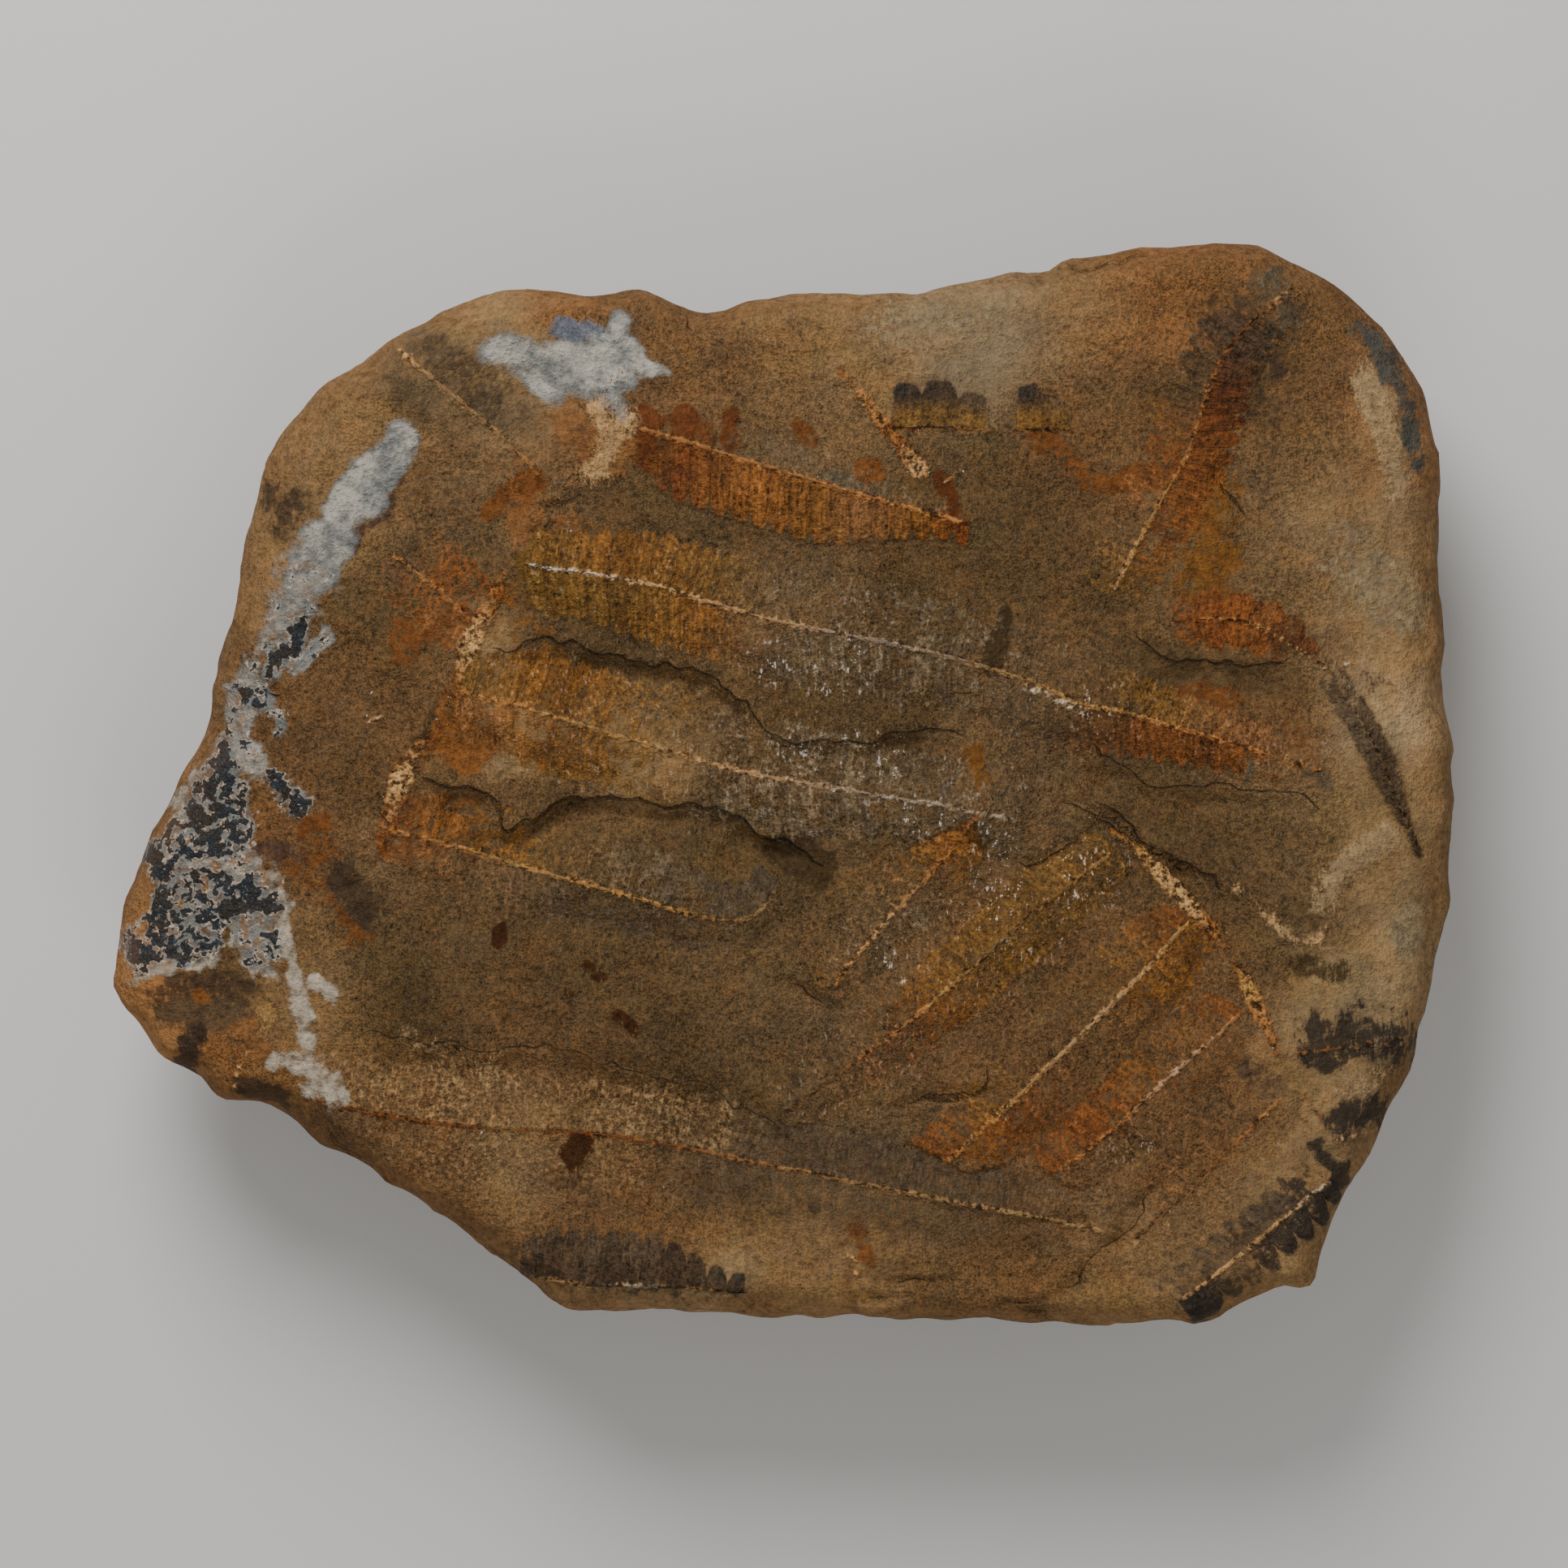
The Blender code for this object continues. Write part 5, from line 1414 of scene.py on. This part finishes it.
def grit_material():
    """Loose crumbs in the axes: pale mineral, iron-stained mineral and dark rock, mixed grain by grain."""
    g = Graph("axis_grit")
    tone = g.read("tone")["Fac"]
    fine = g.grain(0.2, 2)
    grit = colour("umber")
    for low, high, tint in (
            (0.15, 0.2, colour("ochre")), (0.45, 0.6, colour("cream_orange")),
            (0.65, 0.75, g.read("thread")["Color"]), (0.95, 0.97, colour("white"))):
        grit = g.mix(tone.between(low, high), grit, tint)
    g.set(Base_Color=g.scaled(grit, fine + 0.45), Roughness=0.7, Specular_IOR_Level=0.2)
    return g.material


def flake_material():
    """Clean mineral flakes that catch the light."""
    g = Graph("flake_mineral")
    tone = g.read("tone")["Fac"]
    flake = g.mix(tone.between(0.3, 0.7), colour("ash"), colour("silver"))
    g.set(Base_Color=g.scaled(flake, 0.6 + g.grain(0.3, 1) * 0.8), Roughness=0.4, Specular_IOR_Level=0.5)
    return g.material


class Nodes:
    """A Geometry Nodes tree with named inputs: a geometry, a material, numbers, and others by kind."""

    def __init__(self, name, numbers, **others):
        self.tree = bpy.data.node_groups.new(name, "GeometryNodeTree")
        self.identifiers = {}
        kinds = {"Geometry": "Geometry", "Material": "Material", **dict.fromkeys(numbers, "Float"), **others}
        for label, kind in kinds.items():
            socket = self.tree.interface.new_socket(label, in_out="INPUT", socket_type="NodeSocket" + kind)
            self.identifiers[label] = socket.identifier
        self.tree.interface.new_socket("Geometry", in_out="OUTPUT", socket_type="NodeSocketGeometry")
        self.start = self.tree.nodes.new("NodeGroupInput")
        self.end = self.tree.nodes.new("NodeGroupOutput")

    def input(self, label):
        return self.start.outputs[label]

    def add(self, kind, settings=None, sockets=None):
        """Adds a node, sets it up and feeds its sockets, by name or number."""
        node = self.tree.nodes.new(kind)
        for name, value in (settings or {}).items():
            setattr(node, name, value)
        for key, value in (sockets or {}).items():
            if isinstance(value, bpy.types.NodeSocket):
                self.tree.links.new(value, node.inputs[key])
            else:
                node.inputs[key].default_value = value
        return node.outputs

    def math(self, operation, first, second=0.0, third=0.0):
        return self.add("ShaderNodeMath", {"operation": operation}, {0: first, 1: second, 2: third})[0]

    def vector_math(self, operation, sockets):
        return self.add("ShaderNodeVectorMath", {"operation": operation}, sockets)[0]

    def joined(self, x=0.0, y=0.0, z=0.0):
        return self.add("ShaderNodeCombineXYZ", None, {0: x, 1: y, 2: z})[0]

    def ramp(self, sockets, kind="LINEAR"):
        """A value carried from one range to another."""
        return self.add("ShaderNodeMapRange", {"interpolation_type": kind}, sockets)[0]

    def chance(self, low, high, seed):
        """A random value for each element."""
        return self.add("FunctionNodeRandomValue", {"data_type": "FLOAT"}, {2: low, 3: high, "Seed": seed})[1]

    def chance_vector(self, low, high, seed):
        sockets = {0: (low,) * 3, 1: (high,) * 3, "Seed": seed}
        return self.add("FunctionNodeRandomValue", {"data_type": "FLOAT_VECTOR"}, sockets)[0]

    def finish(self, geometry):
        real = self.add("GeometryNodeRealizeInstances", None, {0: geometry})[0]
        coated = self.add("GeometryNodeSetMaterial", None, {0: real, "Material": self.input("Material")})[0]
        self.tree.links.new(coated, self.end.inputs[0])
        return self

    def run(self, mesh, values):
        """Runs the tree on a mesh and returns the result as a plain mesh."""
        carrier = bpy.data.objects.new("carrier", mesh)
        bpy.context.scene.collection.objects.link(carrier)
        modifier = carrier.modifiers.new("build", "NODES")
        modifier.node_group = self.tree
        for label, value in values.items():
            modifier[self.identifiers[label]] = value
        carrier.update_tag()
        graph = bpy.context.evaluated_depsgraph_get()
        result = bpy.data.meshes.new_from_object(carrier.evaluated_get(graph))
        bpy.data.objects.remove(carrier)
        return result


def pinnule_tree():
    """Sets a pinnule to each side of a midrib at every pitch, leaning towards the tip."""
    n = Nodes("pinnules_along_midrib", (
        "Pitch", "Width", "Left Reach", "Right Reach", "Tip Taper", "Start Taper", "Left Lean", "Right Lean",
    ), Pinnule="Object", Seed="Int")
    path = n.add("GeometryNodeMeshToCurve", None, {0: n.input("Geometry")})[0]
    stops = n.add("GeometryNodeCurveToPoints", {"mode": "LENGTH"},
                  {"Curve": path, "Length": n.input("Pitch")})
    tangent = n.add("ShaderNodeSeparateXYZ", None, {0: stops["Tangent"]})
    heading = n.math("ARCTAN2", tangent[1], tangent[0])
    position = n.add("GeometryNodeInputIndex")[0]
    count = n.add("GeometryNodeAttributeDomainSize", {"component": "POINTCLOUD"}, {0: stops["Points"]})[0]
    share = n.math("DIVIDE", position, n.math("MAXIMUM", n.math("SUBTRACT", count, 1.0), 1.0))
    near_tip = n.ramp({0: share, 1: PINNA_TIP, 2: 1.0}, "SMOOTHSTEP")
    near_start = n.ramp({0: share, 1: 0.0, 2: PINNA_START, 3: 1.0, 4: 0.0}, "SMOOTHSTEP")
    taper = n.math("MULTIPLY", n.math("SUBTRACT", 1.0, n.math("MULTIPLY", near_tip, n.input("Tip Taper"))),
                   n.math("SUBTRACT", 1.0, n.math("MULTIPLY", near_start, n.input("Start Taper"))))
    shape = n.add("GeometryNodeObjectInfo", {"transform_space": "ORIGINAL"},
                  {0: n.input("Pinnule")})["Geometry"]
    join = n.tree.nodes.new("GeometryNodeJoinGeometry")
    for side, turn in (("Left", 1.0), ("Right", -1.0)):
        across = n.math("SUBTRACT", math.pi / 2, n.input(side + " Lean"))
        angle = n.math("ADD", heading, n.math("MULTIPLY", across, turn))
        wander = n.chance(-0.035, 0.035, n.math("ADD", n.input("Seed"), turn + 5))
        rotation = n.joined(z=n.math("ADD", angle, wander))
        stretch = n.chance(0.9, 1.07, n.math("ADD", n.input("Seed"), turn + 9))
        reach = n.math("MULTIPLY", n.math("MULTIPLY", n.input(side + " Reach"), taper), stretch)
        size = n.joined(reach, n.input("Width"), n.chance(0.7, 1.2, 3))
        placed = n.add("GeometryNodeInstanceOnPoints", None,
                       {"Points": stops["Points"], "Instance": shape, "Rotation": rotation, "Scale": size})[0]
        n.tree.links.new(placed, join.inputs[0])
    return n.finish(join.outputs[0])


def rib_tree():
    """Sweeps a gritty flattened rod along a line."""
    n = Nodes("rib_along_line", ("Half Width", "Flatness", "Roughness", "Grain Size", "Seed"))
    path = n.add("GeometryNodeMeshToCurve", None, {0: n.input("Geometry")})[0]
    path = n.add("GeometryNodeResampleCurve", {"mode": "LENGTH"}, {0: path, "Length": RIB_STEP})[0]
    share = n.add("GeometryNodeSplineParameter")["Factor"]
    ends = n.math("MULTIPLY", n.ramp({0: share, 1: 0.0, 2: 0.03, 3: 0.4}),
                  n.ramp({0: share, 1: 0.5, 2: 1.0, 3: 1.0, 4: 0.35}))
    place = n.add("GeometryNodeInputPosition")[0]
    beads = n.add("ShaderNodeTexNoise", {"noise_dimensions": "4D"},
                  {"Vector": place, "W": n.input("Seed"), "Scale": 0.7, "Detail": 3.0})[0]
    uneven = n.math("MAXIMUM", n.math("MULTIPLY_ADD", beads, 2.4, -0.4), 0.25)
    width = n.math("MULTIPLY", uneven, n.math("MULTIPLY", n.input("Half Width"), ends))
    path = n.add("GeometryNodeSetCurveRadius", None, {0: path, "Radius": width})[0]
    ring = n.add("GeometryNodeCurvePrimitiveCircle", None, {"Resolution": RIB_CORNERS, "Radius": 1.0})[0]
    rod = n.add("GeometryNodeCurveToMesh", None, {"Curve": path, "Profile Curve": ring, "Scale": width,
                                                  "Fill Caps": True})[0]
    lumpy = n.add("ShaderNodeTexNoise", {"noise_dimensions": "3D"},
                  {"Vector": place, "Scale": n.math("DIVIDE", 1.0, n.input("Grain Size")), "Detail": 2.0})[1]
    centred = n.vector_math("SUBTRACT", {0: lumpy, 1: (0.5, 0.5, 0.5)})
    push = n.vector_math("SCALE", {0: centred, "Scale": n.input("Roughness")})
    rod = n.add("GeometryNodeSetPosition", None, {0: rod, "Offset": push})[0]
    flat = n.joined(1.0, 1.0, n.input("Flatness"))
    rod = n.add("GeometryNodeTransform", None, {0: rod, "Scale": flat})[0]
    return n.finish(rod)


def flake_tree():
    """Scatters angular flakes over a surface, as thick as its density attribute says."""
    n = Nodes("flakes_on_surface", ("Density", "Smallest", "Largest", "Slimness", "Turn", "Tilt"), Seed="Int")
    amount = n.add("GeometryNodeInputNamedAttribute", {"data_type": "FLOAT"}, {"Name": "flake_density"})[0]
    spots = n.add("GeometryNodeDistributePointsOnFaces", {"distribute_method": "RANDOM"},
                  {"Mesh": n.input("Geometry"), "Density": n.math("MULTIPLY", amount, n.input("Density")),
                   "Seed": n.input("Seed")})
    chip = n.add("GeometryNodeMeshIcoSphere", None, {"Radius": 1.0, "Subdivisions": 1})[0]
    size = n.math("POWER", n.chance(0.0, 1.0, 3), 2.0)
    size = n.ramp({0: size, 3: n.input("Smallest"), 4: n.input("Largest")})
    slim = n.joined(n.input("Slimness"), 1.0, n.input("Slimness"))
    shape = n.vector_math("MULTIPLY", {0: n.chance_vector(0.4, 1.0, 5), 1: slim})
    shape = n.vector_math("SCALE", {0: shape, "Scale": size})
    spread = n.joined(n.input("Tilt"), n.input("Tilt"), n.input("Turn"))
    turn = n.vector_math("MULTIPLY", {0: n.chance_vector(-1.0, 1.0, 7), 1: spread})
    placed = n.add("GeometryNodeInstanceOnPoints", None,
                   {"Points": spots["Points"], "Instance": chip, "Rotation": turn, "Scale": shape})[0]
    toned = n.add("GeometryNodeStoreNamedAttribute", {"data_type": "FLOAT", "domain": "INSTANCE"},
                  {0: placed, "Name": "tone", "Value": n.chance(0.0, 1.0, 13)})[0]
    return n.finish(toned)


def polyline_mesh(line):
    mesh = bpy.data.meshes.new("path")
    points = [(x, y, 0.0) for x, y in line]
    mesh.from_pydata(points, [(i, i + 1) for i in range(len(points) - 1)], [])
    return mesh


def pinnule_shape(height):
    """One pinnule, 1 long and 1 wide: a low tongue-shaped cushion over a single point below."""
    along, across = 7, 5
    cage = bmesh.new()
    bmesh.ops.create_grid(cage, x_segments=along, y_segments=across, size=1.0)
    for vertex in cage.verts:
        v = (vertex.co.x + 1) / 2
        u = vertex.co.y
        half = 0.5 * (1 - v**6) ** 0.5 if v < 1 else 0.0
        cushion = (1 - 0.55 * abs(u) ** 3) * (1 - 1.1 * v**9) - 0.15 * math.exp(-((u / 0.25) ** 2))
        vertex.co = (v, u * half, height * cushion)
    rim = [edge for edge in cage.edges if edge.is_boundary]
    foot = cage.verts.new((0.45, 0.0, PINNULE_FOOT))
    for edge in rim:
        edge.smooth = False
        cage.faces.new((*edge.verts, foot))
    bmesh.ops.remove_doubles(cage, verts=cage.verts[:], dist=1e-5)
    bmesh.ops.recalc_face_normals(cage, faces=cage.faces[:])
    mesh = bpy.data.meshes.new("pinnule")
    cage.to_mesh(mesh)
    cage.free()
    return bpy.data.objects.new("pinnule", mesh)


def joined_mesh(name, meshes):
    """All the meshes as one."""
    cage = bmesh.new()
    for mesh in meshes:
        cage.from_mesh(mesh)
    whole = bpy.data.meshes.new(name)
    cage.to_mesh(whole)
    cage.free()
    for mesh in meshes:
        bpy.data.meshes.remove(mesh)
    return whole


class FossilSettings(bpy.types.PropertyGroup):
    """What a user would change about the fossil."""

    pinnule_height: bpy.props.FloatProperty(
        name="Pinnule height", description="How far a pinnule stands above the rock, in millimetres",
        default=0.13, min=0.0, max=1.0)
    rib_roughness: bpy.props.FloatProperty(
        name="Rib grit", description="How far the midribs' grit pushes their surface, in millimetres",
        default=0.3, min=0.0, max=1.0)
    flake_density: bpy.props.FloatProperty(
        name="Flake density", description="Mineral flakes on a square millimetre of glittering blade",
        default=0.75, min=0.0, max=5.0)
    grit_density: bpy.props.FloatProperty(
        name="Grit density", description="Crumbs on a square millimetre of an axis",
        default=8.0, min=0.0, max=16.0)
    grit_largest: bpy.props.FloatProperty(
        name="Largest crumb", description="Half the size of the largest crumb in an axis, in millimetres",
        default=0.24, min=0.05, max=1.5)
    flake_largest: bpy.props.FloatProperty(
        name="Largest flake", description="Half the size of the largest mineral flake, in millimetres",
        default=0.45, min=0.05, max=2.0)
    floor_colour: bpy.props.FloatVectorProperty(
        name="Floor colour", description="Colour of the floor under the stone",
        subtype="COLOR", default=(0.62, 0.61, 0.59), min=0.0, max=1.0)
    key_power: bpy.props.FloatProperty(
        name="Key light", description="Power of the large light beyond the top edge",
        default=4.4, min=0.0, unit="POWER")
    sky_strength: bpy.props.FloatProperty(
        name="Sky light", description="Strength of the even light from all around", default=0.3, min=0.0)


class FOSSIL_OT_stone(bpy.types.Operator):
    """Builds the stone with its broken face, rolled rim and weathered back"""

    bl_idname = "fossil.stone"
    bl_label = "Build the stone"

    def execute(self, context):
        mesh, directions = ball(STONE_CUTS)
        points, weathered, upper = stone_points(directions)
        for name, values in face_paint(points, weathered, upper).items():
            store(mesh, name, values)
        set_points(mesh, to_metres(points))
        stone = show_piece(mesh, "nodule_stone", rock_material())
        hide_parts(NODE)
        return {"FINISHED"}


class FOSSIL_OT_pinnules(bpy.types.Operator):
    """Grows the pinnules of every pinna as low cushions on the stone"""

    bl_idname = "fossil.pinnules"
    bl_label = "Grow the pinnules"

    def execute(self, context):
        settings = context.scene.fossil
        tree = pinnule_tree()
        shape = pinnule_shape(settings.pinnule_height)
        grown = []
        for seed, pinna in enumerate(PINNAE.values()):
            line = smooth_line(pinna["line"], 0.5)
            pitch = pinna_pitch(pinna, line)
            values = {
                "Pinnule": shape, "Pitch": pitch, "Seed": seed, "Tip Taper": pinna["tip"],
                "Width": pitch * (1.04 - 0.09 * pinna.get("cut", DEFAULT_CUT)),
                "Start Taper": pinna.get("start", DEFAULT_START)}
            for side in ("left", "right"):
                values[side.title() + " Reach"] = pinna[side][0]
                values[side.title() + " Lean"] = math.atan(LEAN[side] * pinna.get("lean", 1.0))
            grown.append(tree.run(polyline_mesh(line), values))
        bpy.data.objects.remove(shape)
        mesh = joined_mesh("pinnules", grown)
        points = mesh_points(mesh)
        kept = blade_paint(points[:, :2])["blade"][:, 1]
        left_over = smoothstep(0.3, 0.75, kept + noise(points[:, :2], 0.25, 2.5, 61))
        points[:, 2] -= PINNULE_SINK * (1 - left_over)
        set_points(mesh, points)
        lay_on_stone(mesh)
        show_piece(mesh, "fern_pinnules", bpy.data.materials["ironstone_face"])
        return {"FINISHED"}


class FOSSIL_OT_ribs(bpy.types.Operator):
    """Sweeps the broken, gritty midribs over the face"""

    bl_idname = "fossil.ribs"
    bl_label = "Sweep the midribs"

    def execute(self, context):
        settings = context.scene.fossil
        tree = rib_tree()
        ribs = []
        for seed, pinna in enumerate(PINNAE.values()):
            ribs.append(tree.run(polyline_mesh(smooth_line(pinna["line"])), {
                "Half Width": pinna["rib"], "Flatness": RIB_FLATNESS, "Roughness": settings.rib_roughness,
                "Grain Size": RIB_GRIT, "Seed": float(seed)}))
        mesh = joined_mesh("midribs", ribs)
        lay_on_stone(mesh, RIB_SINK)
        show_piece(mesh, "fern_midribs", rib_material())
        return {"FINISHED"}


class FOSSIL_OT_flakes(bpy.types.Operator):
    """Scatters mineral flakes over the blades that glitter, and crumbs along the axes"""

    bl_idname = "fossil.flakes"
    bl_label = "Scatter flakes and crumbs"

    def execute(self, context):
        settings = context.scene.fossil
        stone = bpy.data.objects["nodule_stone"].data
        xy = stone_millimetres(stone)
        up = np.empty(len(stone.vertices) * 3, np.float32)
        stone.vertex_normals.foreach_get("vector", up)
        upward = smoothstep(0.2, 0.6, up[2::3].astype(float))
        tree = flake_tree()

        paint = blade_paint(xy)
        clumps = smoothstep(0.25, 0.6, layered_noise(xy, [(0.8, 3.4, 71), (0.4, 1.3, 72)]))
        on_blade = smoothstep(-1.0, 0.5, paint["blade"][:, 0]) * paint["blade"][:, 2] * clumps
        on_midrib = smoothstep(0.3, 0.8, thread_tint(xy)[:, 3])
        on_blade *= glitter_share(xy)
        self.scatter(tree, stone, (on_blade + on_midrib * 0.25 + 0.002) * upward, {
            "Density": settings.flake_density / MM**2, "Smallest": 0.04 * MM,
            "Largest": settings.flake_largest * MM, "Slimness": 0.3, "Turn": 0.9, "Tilt": 0.25,
            "Seed": 11}, "mineral_flakes", flake_material())

        along_axes = np.zeros(len(xy))
        for points, half_width, _, _, kept in AXES.values():
            line = smooth_line(points)
            along, _, distance = along_and_across(xy, line)
            left_over = spaced(kept, along / line_length(line))
            wide = half_width * (0.4 + 0.6 * left_over)
            amount = left_over * (1 - smoothstep(0.4, 1.1, distance / wide))
            along_axes = np.maximum(along_axes, amount)
        self.scatter(tree, stone, along_axes * upward, {
            "Density": settings.grit_density / MM**2, "Smallest": 0.06 * MM,
            "Largest": settings.grit_largest * MM, "Slimness": 0.8, "Turn": math.pi, "Tilt": math.pi,
            "Seed": 12}, "axis_grit", grit_material())
        return {"FINISHED"}

    def scatter(self, tree, stone, density, values, name, material):
        ground = stone.copy()
        store(ground, "flake_density", density)
        show_piece(tree.run(ground, values), name, material)


def stone_millimetres(mesh):
    """The vertices' places in the outline's own millimetres."""
    middle, scale, target = stone_fit()
    return (mesh_points(mesh)[:, :2] / MM - target) / scale + middle


class FOSSIL_OT_stage(bpy.types.Operator):
    """Adds the floor, the lights and the camera that looks straight down"""

    bl_idname = "fossil.stage"
    bl_label = "Set the stage"

    def execute(self, context):
        settings = context.scene.fossil
        add_floor(settings)
        add_lights(settings)
        add_camera()
        return {"FINISHED"}


def add_floor(settings):
    mesh = bpy.data.meshes.new("floor")
    half = FLOOR_SIZE / 2
    corners = [(-half, -half, 0), (half, -half, 0), (half, half, 0), (-half, half, 0)]
    mesh.from_pydata(corners, [], [(0, 1, 2, 3)])
    g = Graph("floor_paper")
    g.set(Base_Color=(*settings.floor_colour, 1.0), Roughness=0.9)
    mesh.materials.append(g.material)
    floor = bpy.data.objects.new("floor", mesh)
    bpy.context.scene.collection.objects.link(floor)


def add_lights(settings):
    world = bpy.data.worlds.new("studio")
    world.use_nodes = True
    background = world.node_tree.nodes["Background"]
    background.inputs["Color"].default_value = SKY_COLOUR
    background.inputs["Strength"].default_value = settings.sky_strength
    bpy.context.scene.world = world
    add_area_light("key", *KEY_LIGHT, settings.key_power)
    add_area_light("fill", *FILL_LIGHT, settings.key_power * FILL_SHARE)


def add_area_light(name, place, size, power):
    lamp = bpy.data.lights.new(name, "AREA")
    lamp.shape = "DISK"
    lamp.size = size
    lamp.energy = power
    light = bpy.data.objects.new(name, lamp)
    light.location = place
    direction = -light.location
    light.rotation_euler = direction.to_track_quat("-Z", "Y").to_euler()
    bpy.context.scene.collection.objects.link(light)


def add_camera():
    lens = bpy.data.cameras.new("camera")
    lens.lens = LENS
    lens.sensor_width = SENSOR
    camera = bpy.data.objects.new("camera", lens)
    camera.location = (0.0, 0.0, FACE_HEIGHT * MM + FRAME_WIDTH * LENS / SENSOR)
    bpy.context.scene.collection.objects.link(camera)
    bpy.context.scene.camera = camera


class FOSSIL_PT_panel(bpy.types.Panel):
    """Lists the fossil's settings and steps"""

    bl_idname = "FOSSIL_PT_panel"
    bl_label = "Fern Fossil"
    bl_space_type = "VIEW_3D"
    bl_region_type = "UI"
    bl_category = "Fossil"

    def draw(self, context):
        for name in FossilSettings.__annotations__:
            self.layout.prop(context.scene.fossil, name)
        for step in STEPS:
            self.layout.operator(step.bl_idname)


STEPS = (FOSSIL_OT_stone, FOSSIL_OT_pinnules, FOSSIL_OT_ribs, FOSSIL_OT_flakes, FOSSIL_OT_stage)
CLASSES = (FossilSettings, *STEPS, FOSSIL_PT_panel)


def register():
    for item in CLASSES:
        bpy.utils.register_class(item)
    bpy.types.Scene.fossil = bpy.props.PointerProperty(type=FossilSettings)


def unregister():
    del bpy.types.Scene.fossil
    for item in reversed(CLASSES):
        bpy.utils.unregister_class(item)


def main():
    register()
    bpy.ops.fossil.stone()
    bpy.ops.fossil.pinnules()
    bpy.ops.fossil.ribs()
    bpy.ops.fossil.flakes()
    bpy.ops.fossil.stage()


if __name__ == "__main__":
    main()
